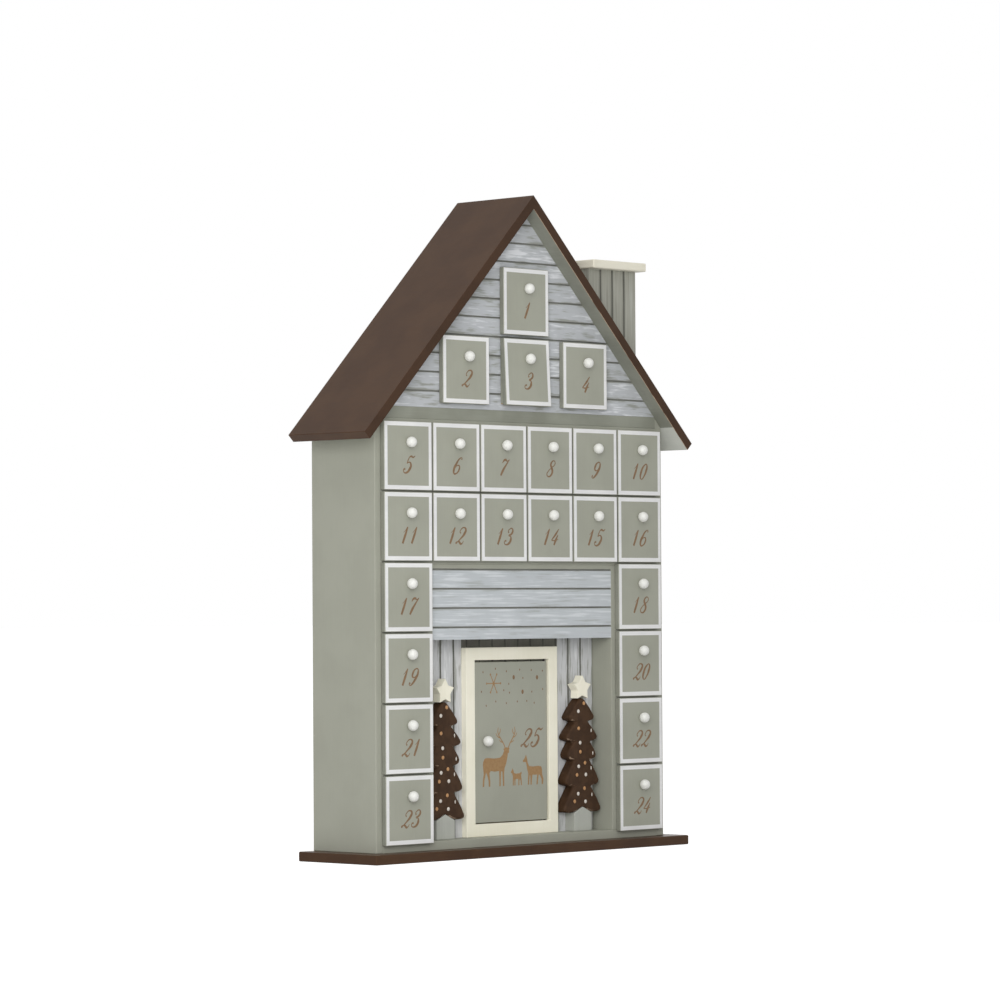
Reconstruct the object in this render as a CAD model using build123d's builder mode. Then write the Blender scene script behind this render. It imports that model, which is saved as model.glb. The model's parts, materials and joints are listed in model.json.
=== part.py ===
from build123d import *
import os
from math import cos, pi, radians, sin, tan

os.makedirs("parts", exist_ok=True)

# Boards of the house
base_thick = 6.6
base_side_overhang = 12.5
base_front_overhang = 13.0
back_overhang = 1.5
base_chamfer = 0.6
wall_thick = 6.0
floor_thick = 5.9
shelf_thick = 3.0
divider_thick = 3.0
column_wall_thick = 4.7
attic_floor_thick = 8.1
back_thick = 3.0
back_inset = 0.5
carcass_depth = 60.0

# Grid of drawers below the gable: six columns, six rows, the two top rows full
column_count = 6
row_count = 6
full_row_count = 2
column_pitch = 46.0
row_pitch = 47.0

# Drawers: an overlaid front, a tray of thin boards and a turned ball knob
front_gap = 1.2
front_thick = 3.8
front_chamfer = 0.6
seat_gap = 0.3
tray_wall = 2.0
tray_height = 36.0
tray_side_clear = 0.5
tray_bottom_clear = 0.3
tray_rear_clear = 2.0
knob_diameter = 7.2
knob_length = 6.9
knob_drop = 13.9
knob_sides = 12
knob_rounding_shares = ((0.33, 0.62), (0.27, 0.32))

# Gable: clapboards on a backing panel, pierced for one drawer above three
gable_drawer_pitch = 59.2
gable_row_lift = 3.2
gable_row_gap = 2.9
gable_base_inset = 1.3
backing_thick = 3.0
cladding_thick = 2.0
clapboard_height = 13.0
lowest_clapboard_height = 11.0
groove_width = 1.3
groove_depth = 0.9
guide_thick = 3.0
tipped_drawer = 3
tip_angle = 2.8
tip_lift = 0.4

# Roof boards meet in a mitre at the ridge
roof_pitch = 45.6
roof_thick = 6.6
eave_overhang = 20.1
roof_front_overhang = 12.0

# Chimney of grooved boards, standing on the right slope
chimney_board_width = 12.2
chimney_front_boards = 4
chimney_side_grooves = 2
chimney_depth = 30.0
chimney_inside_offset = 78.3
chimney_front_setback = 21.5
chimney_drop = 44.4
cap_thick = 6.0
cap_front_overhang = 6.7
cap_back_overhang = 4.5
cap_inner_overhang = 1.9
cap_outer_overhang = 4.5
cap_chamfer = 0.6

# Porch recess with a lintel above and upright boards behind
porch_depth = 18.0
lintel_drop = 50.6
lintel_thick = 5.0
lintel_lowest_height = 8.2
porch_board_count = 14
porch_board_thick = 4.0
porch_board_gap = 0.2
porch_boards_over_door = 6

# Door and its frame, a little right of the middle
door_offset = 2.2
frame_width = 90.9
frame_height = 128.7
frame_bar = 8.6
frame_thick = 4.7
door_gap = 0.7
door_top_gap = 1.5
door_thick = 3.5
door_recess = 1.0
door_edge_round = 1.6
door_stop_lap = 2.8
door_knob_inset = 9.6
door_knob_rise = 0.9
pin_radius = 0.9
pin_clear = 0.05
pin_in_frame = 4.0
pin_in_door = 6.0
pin_end_clear = 0.3

# Fir trees sawn from thick board, each on a trunk and under a star
tree_side_clear = 1.6
tree_height = 81.4
tree_thick = 9.3
tree_corner_round = 1.0
tier_height_shares = (0.798, 0.627, 0.468, 0.246)
tier_width_shares = (0.67, 0.83, 0.74, 0.9)
notch_width_shares = (0.34, 0.45, 0.42, 0.47)
notch_drop = 1.8
skirt_rise = 1.8
skirt_foot_share = 0.87
trunk_width = 17.5
trunk_height = 12.8
trunk_peak = 4.0
star_radius = 8.5
star_inner_share = 0.58
star_points = 5
star_point_round = 0.5
star_thick = 7.0
star_proud = 0.3

# Places that follow from the sizes above
half_inside = (column_count * column_pitch - divider_thick) / 2
half_house = half_inside + wall_thick
base_width = 2 * (half_house + base_side_overhang)
base_depth = base_front_overhang + carcass_depth + back_overhang
back_y = base_depth / 2 - back_overhang
front_y = back_y - carcass_depth
back_panel_y = back_y - back_inset - back_thick
inside_depth = back_panel_y - front_y
drawer_face_y = front_y - seat_gap - front_thick
floor_z = base_thick + floor_thick
lowest_row_z = floor_z - shelf_thick / 2
column_row_count = row_count - full_row_count
compartment_width = column_pitch - divider_thick
compartment_height = row_pitch - shelf_thick
lower_shelf_z = lowest_row_z + column_row_count * row_pitch - shelf_thick / 2
upper_shelf_z = lower_shelf_z + row_pitch
top_shelf_z = upper_shelf_z + row_pitch
attic_z = top_shelf_z + shelf_thick
attic_top_z = attic_z + attic_floor_thick
porch_half_width = half_inside - compartment_width - column_wall_thick
porch_back_y = front_y + porch_depth

# Roof lines in front view
slope = tan(radians(roof_pitch))
gable_half_base = half_inside - gable_base_inset
inner_ridge_z = attic_top_z + gable_half_base * slope
ridge_z = inner_ridge_z + roof_thick / cos(radians(roof_pitch))
eave_x = half_house + eave_overhang
roof_front_y = front_y - roof_front_overhang

# Drawer sizes
front_width = column_pitch - front_gap
front_height = row_pitch - front_gap
tray_width = compartment_width - 2 * tray_side_clear
tray_length = seat_gap + inside_depth - tray_rear_clear
opening_rise = (shelf_thick - front_gap) / 2
tray_rise = opening_rise + tray_bottom_clear

# Gable rows, the boards that carry them and the middle of each drawer's lower edge
lower_gable_z = attic_top_z + gable_row_lift
upper_gable_z = lower_gable_z + front_height + gable_row_gap
attic_shelf_top_z = upper_gable_z + opening_rise
attic_shelf_z = attic_shelf_top_z - shelf_thick
gable_back_y = front_y + cladding_thick + backing_thick
gable_places = (
    (0, upper_gable_z),
    (-gable_drawer_pitch, lower_gable_z),
    (0, lower_gable_z),
    (gable_drawer_pitch, lower_gable_z),
)


def underside_z(x):
    """Height of the roof's underside at a distance from the ridge line."""
    return inner_ridge_z - x * slope


def topside_z(x):
    """Height of the roof's upper face at a distance from the ridge line."""
    return ridge_z - x * slope


def underside_x(z):
    """Distance from the ridge line at which the roof's underside has a height."""
    return (inner_ridge_z - z) / slope


def front_view(y):
    """Plane across the house at a depth: x to the right, y up, normal towards the front."""
    return Plane.XZ.offset(-y)


def save(part, name):
    """Labels a finished piece and writes it under its name."""
    part.label = name
    export_step(part, f"parts/{name}.step")


def glued(*builders):
    """Gathers the separate solids of several builders as one glued-up piece."""
    return Compound(children=[solid for builder in builders for solid in builder.part.solids()])


def board(points, y_front, y_back):
    """Makes a flat board from its outline in front view."""
    with BuildPart() as flat:
        with BuildSketch(front_view(y_back)):
            Polygon(*points, align=None)
        extrude(amount=y_back - y_front)
    return flat


def shelf_outline(x_low, x_high, z_low, z_high):
    """Outline of a square-edged board in front view."""
    return ((x_low, z_low), (x_high, z_low), (x_high, z_high), (x_low, z_high))


# Base plate, eased on every edge
with BuildPart() as base_plate:
    with BuildSketch():
        Rectangle(base_width, base_depth)
    extrude(amount=base_thick)
    chamfer(base_plate.edges(), length=base_chamfer)
save(base_plate.part, "base_plate")

# Side walls, bevelled at the top to the roof
for side, name in ((-1, "left_wall"), (1, "right_wall")):
    wall_points = (
        (side * half_house, base_thick),
        (side * half_inside, base_thick),
        (side * half_inside, underside_z(half_inside)),
        (side * half_house, underside_z(half_house)),
    )
    wall = board(wall_points, front_y, back_y)
    save(wall.part, name)

# Back panel between the walls, up to the ridge
back_points = (
    (-half_inside, base_thick),
    (half_inside, base_thick),
    (half_inside, underside_z(half_inside)),
    (0, inner_ridge_z),
    (-half_inside, underside_z(half_inside)),
)
back_panel = board(back_points, back_panel_y, back_y - back_inset)
save(back_panel.part, "back_panel")

# Floor board, which is also the porch sill
floor_points = shelf_outline(-half_inside, half_inside, base_thick, floor_z)
floor_board = board(floor_points, front_y, back_panel_y)
save(floor_board.part, "floor_board")

# Three long shelves: one under each full row and one over them
for shelf_z, name in (
    (lower_shelf_z, "lower_shelf"),
    (upper_shelf_z, "upper_shelf"),
    (top_shelf_z, "top_shelf"),
):
    shelf_points = shelf_outline(-half_inside, half_inside, shelf_z, shelf_z + shelf_thick)
    shelf = board(shelf_points, front_y, back_panel_y)
    save(shelf.part, name)

# Attic floor, bevelled under the roof, whose front edge is the plain band below the clapboards
attic_points = (
    (-half_inside, attic_z),
    (half_inside, attic_z),
    (half_inside, underside_z(half_inside)),
    (gable_half_base, attic_top_z),
    (-gable_half_base, attic_top_z),
    (-half_inside, underside_z(half_inside)),
)
attic_floor = board(attic_points, front_y, back_panel_y)
save(attic_floor.part, "attic_floor")

# Dividers between the drawers of the full rows
for shelf_z, name in ((lower_shelf_z, "lower_dividers"), (upper_shelf_z, "upper_dividers")):
    with BuildPart() as dividers:
        with BuildSketch(front_view(back_panel_y)):
            with Locations((0, shelf_z + shelf_thick + compartment_height / 2)):
                with GridLocations(column_pitch, 0, column_count - 1, 1):
                    Rectangle(divider_thick, compartment_height)
        extrude(amount=inside_depth)
    save(dividers.part, name)

# Wall and shelves of each outer column, beside the porch
for side, name in ((-1, "left_column"), (1, "right_column")):
    column_wall_points = shelf_outline(
        side * porch_half_width,
        side * (porch_half_width + column_wall_thick),
        floor_z,
        lower_shelf_z,
    )
    column_wall = board(column_wall_points, front_y, back_panel_y)
    save(column_wall.part, f"{name}_wall")

    with BuildPart() as column_shelves:
        with BuildSketch(front_view(back_panel_y)):
            for row in range(1, column_row_count):
                column_x = side * (half_inside - compartment_width / 2)
                with Locations((column_x, lowest_row_z + row * row_pitch)):
                    Rectangle(compartment_width, shelf_thick)
        extrude(amount=inside_depth)
    save(column_shelves.part, f"{name}_shelves")


def level_grooves(heights, half_length):
    """Makes the cutters for V grooves along X in the front of the house."""
    with BuildPart() as cutters:
        with BuildSketch(Plane.YZ.offset(-half_length)):
            for z in heights:
                with Locations((front_y, z)):
                    Polygon(
                        (-groove_depth, groove_width),
                        (groove_depth, 0),
                        (-groove_depth, -groove_width),
                        align=None,
                    )
        extrude(amount=2 * half_length)
    return cutters


# Openings in the gable for its four drawers
with BuildPart() as gable_openings:
    with BuildSketch(front_view(gable_back_y)):
        for x, z in gable_places:
            with Locations((x, z + opening_rise + compartment_height / 2)):
                Rectangle(compartment_width, compartment_height)
    extrude(amount=cladding_thick + backing_thick)

gable_points = ((-gable_half_base, attic_top_z), (gable_half_base, attic_top_z), (0, inner_ridge_z))

# Gable backing, a plain triangle behind the clapboards
with BuildPart() as gable_backing:
    with BuildSketch(front_view(gable_back_y)):
        Polygon(*gable_points, align=None)
    extrude(amount=backing_thick)
    add(gable_openings.part, mode=Mode.SUBTRACT)
save(gable_backing.part, "gable_backing")

# Gable clapboards, grooved level by level up to the ridge
first_groove_z = attic_top_z + lowest_clapboard_height
gable_groove_count = int((inner_ridge_z - first_groove_z) / clapboard_height) + 1
gable_grooves = level_grooves(
    [first_groove_z + level * clapboard_height for level in range(gable_groove_count)],
    gable_half_base,
)
with BuildPart() as gable_clapboards:
    with BuildSketch(front_view(front_y + cladding_thick)):
        Polygon(*gable_points, align=None)
    extrude(amount=cladding_thick)
    add(gable_openings.part, mode=Mode.SUBTRACT)
    add(gable_grooves.part, mode=Mode.SUBTRACT)
save(gable_clapboards.part, "gable_clapboards")

# Attic shelf under the top drawer, bevelled to the roof
attic_shelf_points = (
    (-underside_x(attic_shelf_z), attic_shelf_z),
    (underside_x(attic_shelf_z), attic_shelf_z),
    (underside_x(attic_shelf_top_z), attic_shelf_top_z),
    (-underside_x(attic_shelf_top_z), attic_shelf_top_z),
)
attic_shelf = board(attic_shelf_points, gable_back_y, back_panel_y)
save(attic_shelf.part, "attic_shelf")

# Upright guides on both sides of each gable drawer
with BuildPart() as attic_guides:
    with BuildSketch(front_view(back_panel_y)):
        for x, z in gable_places:
            if z == upper_gable_z:
                guide_low = attic_shelf_top_z
                guide_high = z + opening_rise + compartment_height
            else:
                guide_low = attic_top_z
                guide_high = attic_shelf_z
            with Locations((x, (guide_low + guide_high) / 2)):
                with GridLocations(compartment_width + guide_thick, 0, 2, 1):
                    Rectangle(guide_thick, guide_high - guide_low)
    extrude(amount=back_panel_y - gable_back_y)
save(attic_guides.part, "attic_guides")

# Roof boards, mitred at the ridge, cut square at the eaves and standing out behind like the base
eave_step_x = roof_thick * sin(radians(roof_pitch))
eave_step_z = roof_thick * cos(radians(roof_pitch))
for side, name in ((-1, "roof_left"), (1, "roof_right")):
    roof_points = (
        (0, ridge_z),
        (side * eave_x, topside_z(eave_x)),
        (side * (eave_x - eave_step_x), topside_z(eave_x) - eave_step_z),
        (0, inner_ridge_z),
    )
    roof = board(roof_points, roof_front_y, back_y + back_overhang)
    save(roof.part, name)

# Chimney stack, cut to the slope below and grooved on all four sides
chimney_width = chimney_front_boards * chimney_board_width
chimney_far_x = chimney_inside_offset + chimney_width
chimney_middle_x = chimney_inside_offset + chimney_width / 2
chimney_front_y = roof_front_y + chimney_front_setback
chimney_middle_y = chimney_front_y + chimney_depth / 2
chimney_top_z = ridge_z - chimney_drop
with BuildPart() as chimney_stack:
    with BuildSketch(front_view(chimney_front_y + chimney_depth)):
        Polygon(
            (chimney_inside_offset, topside_z(chimney_inside_offset)),
            (chimney_far_x, topside_z(chimney_far_x)),
            (chimney_far_x, chimney_top_z),
            (chimney_inside_offset, chimney_top_z),
            align=None,
        )
    extrude(amount=chimney_depth)
    with BuildSketch(Plane.XY.offset(topside_z(chimney_far_x))):
        with Locations((chimney_middle_x, chimney_middle_y)):
            with GridLocations(chimney_board_width, chimney_depth, chimney_front_boards - 1, 2):
                Rectangle(groove_width, groove_width, rotation=45)
            with GridLocations(chimney_width, chimney_board_width, 2, chimney_side_grooves):
                Rectangle(groove_width, groove_width, rotation=45)
    extrude(amount=chimney_top_z - topside_z(chimney_far_x), mode=Mode.SUBTRACT)
save(chimney_stack.part, "chimney_stack")

# Chimney cap, overhanging all round, most of all at the front
with BuildPart() as chimney_cap:
    with BuildSketch(Plane.XY.offset(chimney_top_z)):
        with Locations((chimney_inside_offset - cap_inner_overhang, chimney_front_y - cap_front_overhang)):
            Rectangle(
                cap_inner_overhang + chimney_width + cap_outer_overhang,
                cap_front_overhang + chimney_depth + cap_back_overhang,
                align=(Align.MIN, Align.MIN),
            )
    extrude(amount=cap_thick)
    chamfer(chimney_cap.edges(), length=cap_chamfer)
save(chimney_cap.part, "chimney_cap")

# Lintel of clapboards over the porch
lintel_z = lower_shelf_z - lintel_drop
lintel_groove_count = int((lintel_drop - lintel_lowest_height) / clapboard_height) + 1
lintel_grooves = level_grooves(
    [lintel_z + lintel_lowest_height + level * clapboard_height for level in range(lintel_groove_count)],
    porch_half_width,
)
with BuildPart() as lintel:
    with BuildSketch(front_view(front_y + lintel_thick)):
        Polygon(*shelf_outline(-porch_half_width, porch_half_width, lintel_z, lower_shelf_z), align=None)
    extrude(amount=lintel_thick)
    add(lintel_grooves.part, mode=Mode.SUBTRACT)
save(lintel.part, "lintel")

# Lines of the door, its frame and the trees beside it
frame_low_x = door_offset - frame_width / 2
frame_high_x = door_offset + frame_width / 2
frame_top_z = floor_z + frame_height
opening_low_x = frame_low_x + frame_bar
opening_high_x = frame_high_x - frame_bar
opening_low_z = floor_z + frame_bar
opening_high_z = frame_top_z - frame_bar
frame_front_y = porch_back_y - frame_thick
door_low_x = opening_low_x + door_gap
door_high_x = opening_high_x - door_gap
door_low_z = opening_low_z + door_gap
door_high_z = opening_high_z - door_top_gap
door_front_y = frame_front_y + door_recess
hinge_x = door_high_x - door_thick / 2
hinge_y = door_front_y + door_thick / 2
tree_width = porch_half_width - frame_high_x - 2 * tree_side_clear
tree_offset = porch_half_width - tree_side_clear - tree_width / 2


def pivots(radius, low_z, high_z):
    """Makes a round bar on the hinge line."""
    with BuildPart() as bar:
        with BuildSketch(Plane.XY.offset(low_z)):
            with Locations((hinge_x, hinge_y)):
                Circle(radius)
        extrude(amount=high_z - low_z)
    return bar


# Two pivot pins, fast in the rails of the frame
lower_pin = pivots(pin_radius, opening_low_z - pin_in_frame, door_low_z + pin_in_door)
upper_pin = pivots(pin_radius, door_high_z - pin_in_door, opening_high_z + pin_in_frame)
hinge_pins = glued(lower_pin, upper_pin)
save(hinge_pins, "hinge_pins")

# Door frame of four mitred bars, with the pins' holes in the rails
bar_outlines = (
    (
        (frame_low_x, floor_z),
        (frame_high_x, floor_z),
        (opening_high_x, opening_low_z),
        (opening_low_x, opening_low_z),
    ),
    (
        (frame_low_x, frame_top_z),
        (opening_low_x, opening_high_z),
        (opening_high_x, opening_high_z),
        (frame_high_x, frame_top_z),
    ),
    (
        (frame_low_x, floor_z),
        (opening_low_x, opening_low_z),
        (opening_low_x, opening_high_z),
        (frame_low_x, frame_top_z),
    ),
    (
        (frame_high_x, floor_z),
        (frame_high_x, frame_top_z),
        (opening_high_x, opening_high_z),
        (opening_high_x, opening_low_z),
    ),
)
frame_bars = []
for bar_outline in bar_outlines:
    with BuildPart() as frame_piece:
        with BuildSketch(front_view(porch_back_y)):
            Polygon(*bar_outline, align=None)
        extrude(amount=frame_thick)
        add(lower_pin.part, mode=Mode.SUBTRACT)
        add(upper_pin.part, mode=Mode.SUBTRACT)
    frame_bars.append(frame_piece)
door_frame = glued(*frame_bars)
save(door_frame, "door_frame")

# Door panel, rounded at the pivot edge and bored for the pins with a running fit
lower_bore = pivots(pin_radius + pin_clear, opening_low_z, door_low_z + pin_in_door + pin_end_clear)
upper_bore = pivots(pin_radius + pin_clear, door_high_z - pin_in_door - pin_end_clear, opening_high_z)
with BuildPart() as door_panel:
    with BuildSketch(front_view(door_front_y + door_thick)):
        Polygon(*shelf_outline(door_low_x, door_high_x, door_low_z, door_high_z), align=None)
    extrude(amount=door_thick)
    fillet(door_panel.edges().filter_by(Axis.Z).group_by(Axis.X)[-1], radius=door_edge_round)
    add(lower_bore.part, mode=Mode.SUBTRACT)
    add(upper_bore.part, mode=Mode.SUBTRACT)
save(door_panel.part, "door_panel")

# Upright porch boards, short above the door and full height beside it
porch_board_pitch = 2 * porch_half_width / porch_board_count
with BuildPart() as porch_boards:
    with BuildSketch(front_view(porch_back_y + porch_board_thick)):
        for place in range(porch_board_count):
            from_middle = place + 1 / 2 - porch_board_count / 2
            over_door = abs(from_middle) < porch_boards_over_door / 2
            board_low_z = opening_high_z - door_stop_lap if over_door else floor_z
            with Locations((from_middle * porch_board_pitch, (board_low_z + lower_shelf_z) / 2)):
                Rectangle(porch_board_pitch - porch_board_gap, lower_shelf_z - board_low_z)
    extrude(amount=porch_board_thick)
    front_uprights = porch_boards.edges().filter_by(Axis.Z).group_by(Axis.Y)[0]
    chamfer(front_uprights, length=groove_width / 2)
save(porch_boards.part, "porch_boards")


# Pattern of the ball knobs: a twelve-sided turning, rounded off at both ends in two steps
knob_apothem = knob_diameter / 2 * cos(pi / knob_sides)
with BuildPart() as knob_pattern:
    with BuildSketch():
        RegularPolygon(knob_diameter / 2, knob_sides)
    extrude(amount=knob_length)
    for end in (0, -1):
        for inward_share, sideward_share in knob_rounding_shares:
            end_face = knob_pattern.faces().sort_by(Axis.Z)[end]
            chamfer(
                end_face.edges(),
                length=inward_share * knob_apothem,
                length2=sideward_share * knob_apothem,
                reference=end_face,
            )


def ball_knob(foot):
    """Sets a ball knob on a plane, its axis along the normal."""
    with BuildPart(foot) as knob:
        add(knob_pattern.part)
    return knob


def facing_front(x, y, z):
    """Plane that faces the front at a point: x to the right, y up."""
    return Plane(origin=(x, y, z), x_dir=(1, 0, 0), z_dir=(0, -1, 0))


# Door knob near the free edge, just over mid height
door_knob_z = (door_low_z + door_high_z) / 2 + door_knob_rise
door_knob = ball_knob(facing_front(door_low_x + door_knob_inset, door_front_y, door_knob_z))
save(door_knob.part, "door_knob")


def tree_outline():
    """Outline of a fir over its lowest line: five tiers and a notch for the trunk."""
    half = tree_width / 2
    right = []
    for height, width, notch in zip(tier_height_shares, tier_width_shares, notch_width_shares):
        right.append((width * half, height * tree_height))
        right.append((notch * half, height * tree_height - notch_drop))
    right.append((half, skirt_rise))
    right.append((skirt_foot_share * half, 0))
    right.append((trunk_width / 2, 0))
    left = [(-x, z) for x, z in reversed(right)]
    return [(0, tree_height), *right, (0, trunk_peak), *left]


def star_outline():
    """Outline of a star about its centre, one point up."""
    corners = []
    for corner in range(2 * star_points):
        reach = star_radius if corner % 2 == 0 else star_radius * star_inner_share
        turn = pi / 2 - corner * pi / star_points
        corners.append((reach * cos(turn), reach * sin(turn)))
    return corners


# Tree, trunk and star on either side of the door, filling the room between frame and column wall
widest_notch = tree_width / 2 * max(notch_width_shares)
tree_low_z = floor_z + trunk_height
star_z = tree_low_z + tree_height + star_radius * star_inner_share
star_middle_reach = star_radius * (1 + star_inner_share) / 2
star_back_y = porch_back_y - tree_thick - star_proud + star_thick
for side, name in ((-1, "left"), (1, "right")):
    tree_x = side * tree_offset

    with BuildPart() as tree:
        with BuildSketch(facing_front(tree_x, porch_back_y, tree_low_z)) as tree_face:
            Polygon(*tree_outline(), align=None)
            tier_tips = tree_face.vertices().filter_by(lambda tip: abs(tip.X) > widest_notch)
            fillet(tier_tips, radius=tree_corner_round)
        extrude(amount=tree_thick)
    save(tree.part, f"tree_{name}")

    with BuildPart() as trunk:
        with BuildSketch(facing_front(tree_x, porch_back_y, floor_z)):
            Polygon(
                (-trunk_width / 2, 0),
                (trunk_width / 2, 0),
                (trunk_width / 2, trunk_height),
                (0, trunk_height + trunk_peak),
                (-trunk_width / 2, trunk_height),
                align=None,
            )
        extrude(amount=tree_thick)
    save(trunk.part, f"trunk_{name}")

    with BuildPart() as star:
        with BuildSketch(facing_front(tree_x, star_back_y, star_z)) as star_face:
            Polygon(*star_outline(), align=None)
            star_tips = star_face.vertices().filter_by(
                lambda tip: (tip.X**2 + tip.Y**2) ** 0.5 > star_middle_reach
            )
            fillet(star_tips, radius=star_point_round)
        extrude(amount=star_thick)
    save(star.part, f"star_{name}")


def drawer_plane(x, z, tip):
    """Plane on a drawer's front, from its lower edge: x to the right, y up, normal out of the house.

    A tipped drawer sags at its rear end: its front leans back and stands out at the bottom.
    """
    lean = radians(tip)
    lift = tip_lift if tip else 0
    return Plane(
        origin=(x, drawer_face_y - front_height * sin(lean), z + lift),
        x_dir=(1, 0, 0),
        z_dir=(0, -cos(lean), sin(lean)),
    )


def make_drawer(face):
    """Makes one drawer on the plane of its front: front, two sides, floor, back and knob, glued up."""
    inner_width = tray_width - 2 * tray_wall
    tray_middle = -front_thick - tray_length / 2

    with BuildPart(face) as front:
        with Locations((0, front_height / 2, -front_thick / 2)):
            Box(front_width, front_height, front_thick)
        outer_face = front.faces().sort_by(Axis(face.origin, face.z_dir))[-1]
        chamfer(outer_face.edges(), length=front_chamfer)

    with BuildPart(face) as tray_sides:
        with Locations((0, tray_rise + tray_height / 2, tray_middle)):
            with GridLocations(tray_width - tray_wall, 0, 2, 1):
                Box(tray_wall, tray_height, tray_length)

    with BuildPart(face) as tray_floor:
        with Locations((0, tray_rise + tray_wall / 2, tray_middle)):
            Box(inner_width, tray_wall, tray_length)

    with BuildPart(face) as tray_back:
        back_height = tray_height - tray_wall
        back_middle = tray_wall / 2 - front_thick - tray_length
        with Locations((0, tray_rise + tray_wall + back_height / 2, back_middle)):
            Box(inner_width, back_height, tray_wall)

    knob_foot = face.from_local_coords((0, front_height - knob_drop, 0))
    knob = ball_knob(Plane(origin=knob_foot, x_dir=face.x_dir, z_dir=face.z_dir))
    return glued(front, tray_sides, tray_floor, tray_back, knob)


# Drawers in the order of their numbers: gable, full rows, then the two columns row by row
drawer_places = list(gable_places)
for row in range(row_count - 1, -1, -1):
    for column in range(column_count):
        in_column = column in (0, column_count - 1)
        if row >= column_row_count or in_column:
            drawer_x = (column + 1 / 2 - column_count / 2) * column_pitch
            drawer_places.append((drawer_x, lowest_row_z + row * row_pitch + front_gap / 2))

for number, (x, z) in enumerate(drawer_places, start=1):
    tip = tip_angle if number == tipped_drawer else 0
    drawer = make_drawer(drawer_plane(x, z, tip))
    save(drawer, f"drawer_{number:02d}")
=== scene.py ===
import json
import logging
import math
from dataclasses import dataclass
from enum import Enum, IntEnum

import bmesh
import bpy
from bmesh.types import BMEdge, BMesh, BMFace, BMVert
from bpy.types import ID, Curve, Material, Node, NodeSocket, NodeTree, Object
from mathutils import Matrix, Vector


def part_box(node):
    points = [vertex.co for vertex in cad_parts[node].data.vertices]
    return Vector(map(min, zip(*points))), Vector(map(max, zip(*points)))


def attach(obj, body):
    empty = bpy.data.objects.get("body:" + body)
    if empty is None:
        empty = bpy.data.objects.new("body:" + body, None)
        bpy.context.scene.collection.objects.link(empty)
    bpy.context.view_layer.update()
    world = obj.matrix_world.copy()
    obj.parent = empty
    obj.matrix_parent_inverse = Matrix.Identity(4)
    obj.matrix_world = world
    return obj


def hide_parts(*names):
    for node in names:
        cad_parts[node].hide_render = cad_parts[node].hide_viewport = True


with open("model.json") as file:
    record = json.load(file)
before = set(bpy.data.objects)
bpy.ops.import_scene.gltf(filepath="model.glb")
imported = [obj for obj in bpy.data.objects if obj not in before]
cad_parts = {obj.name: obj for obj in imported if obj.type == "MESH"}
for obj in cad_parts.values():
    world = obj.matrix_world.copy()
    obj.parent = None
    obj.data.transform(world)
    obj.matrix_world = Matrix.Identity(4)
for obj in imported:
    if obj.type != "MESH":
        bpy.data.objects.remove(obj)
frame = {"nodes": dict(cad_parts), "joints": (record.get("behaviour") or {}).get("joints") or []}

LOG = logging.getLogger("advent_house")
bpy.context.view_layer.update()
# Metres to a millimetre: the house is sized in millimetres, the studio in metres and radians
MM = 0.001
WELD_MM = 0.002
INK_FILM_MM = 0.05
FLAT_ANGLE = math.radians(0.6)
SHARP_ANGLE = math.radians(25)
# Least share of a face's normal that makes it count as square on or as slanted to a direction
SQUARE_ON = 0.93
SLANTED = 0.3
# Steps between the points of a pen stroke, and extra facets round its edge
PEN_STEPS = 5
PEN_FACETS = 1
HOUSE = "house"
DOOR = "door"
DRAWER_COUNT = 24
SURFACE = "Principled BSDF"
WHITE = "#FFFFFF"
GREY = ("#9FA093", "#A3A497")
BROWN = ("#442F20", "#4B3524")
FIR_BROWN = "#453121"
BASSWOOD = ("#C9AC80", "#DCC59E")

Outline = tuple[tuple[float, float], ...]
Stroke = tuple[tuple[float, float, float], ...]
Place = tuple[float, float, float]
Inputs = dict[str | int, object]
Stops = tuple[tuple[float, str], ...]
Shares = tuple[float, ...]

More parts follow.
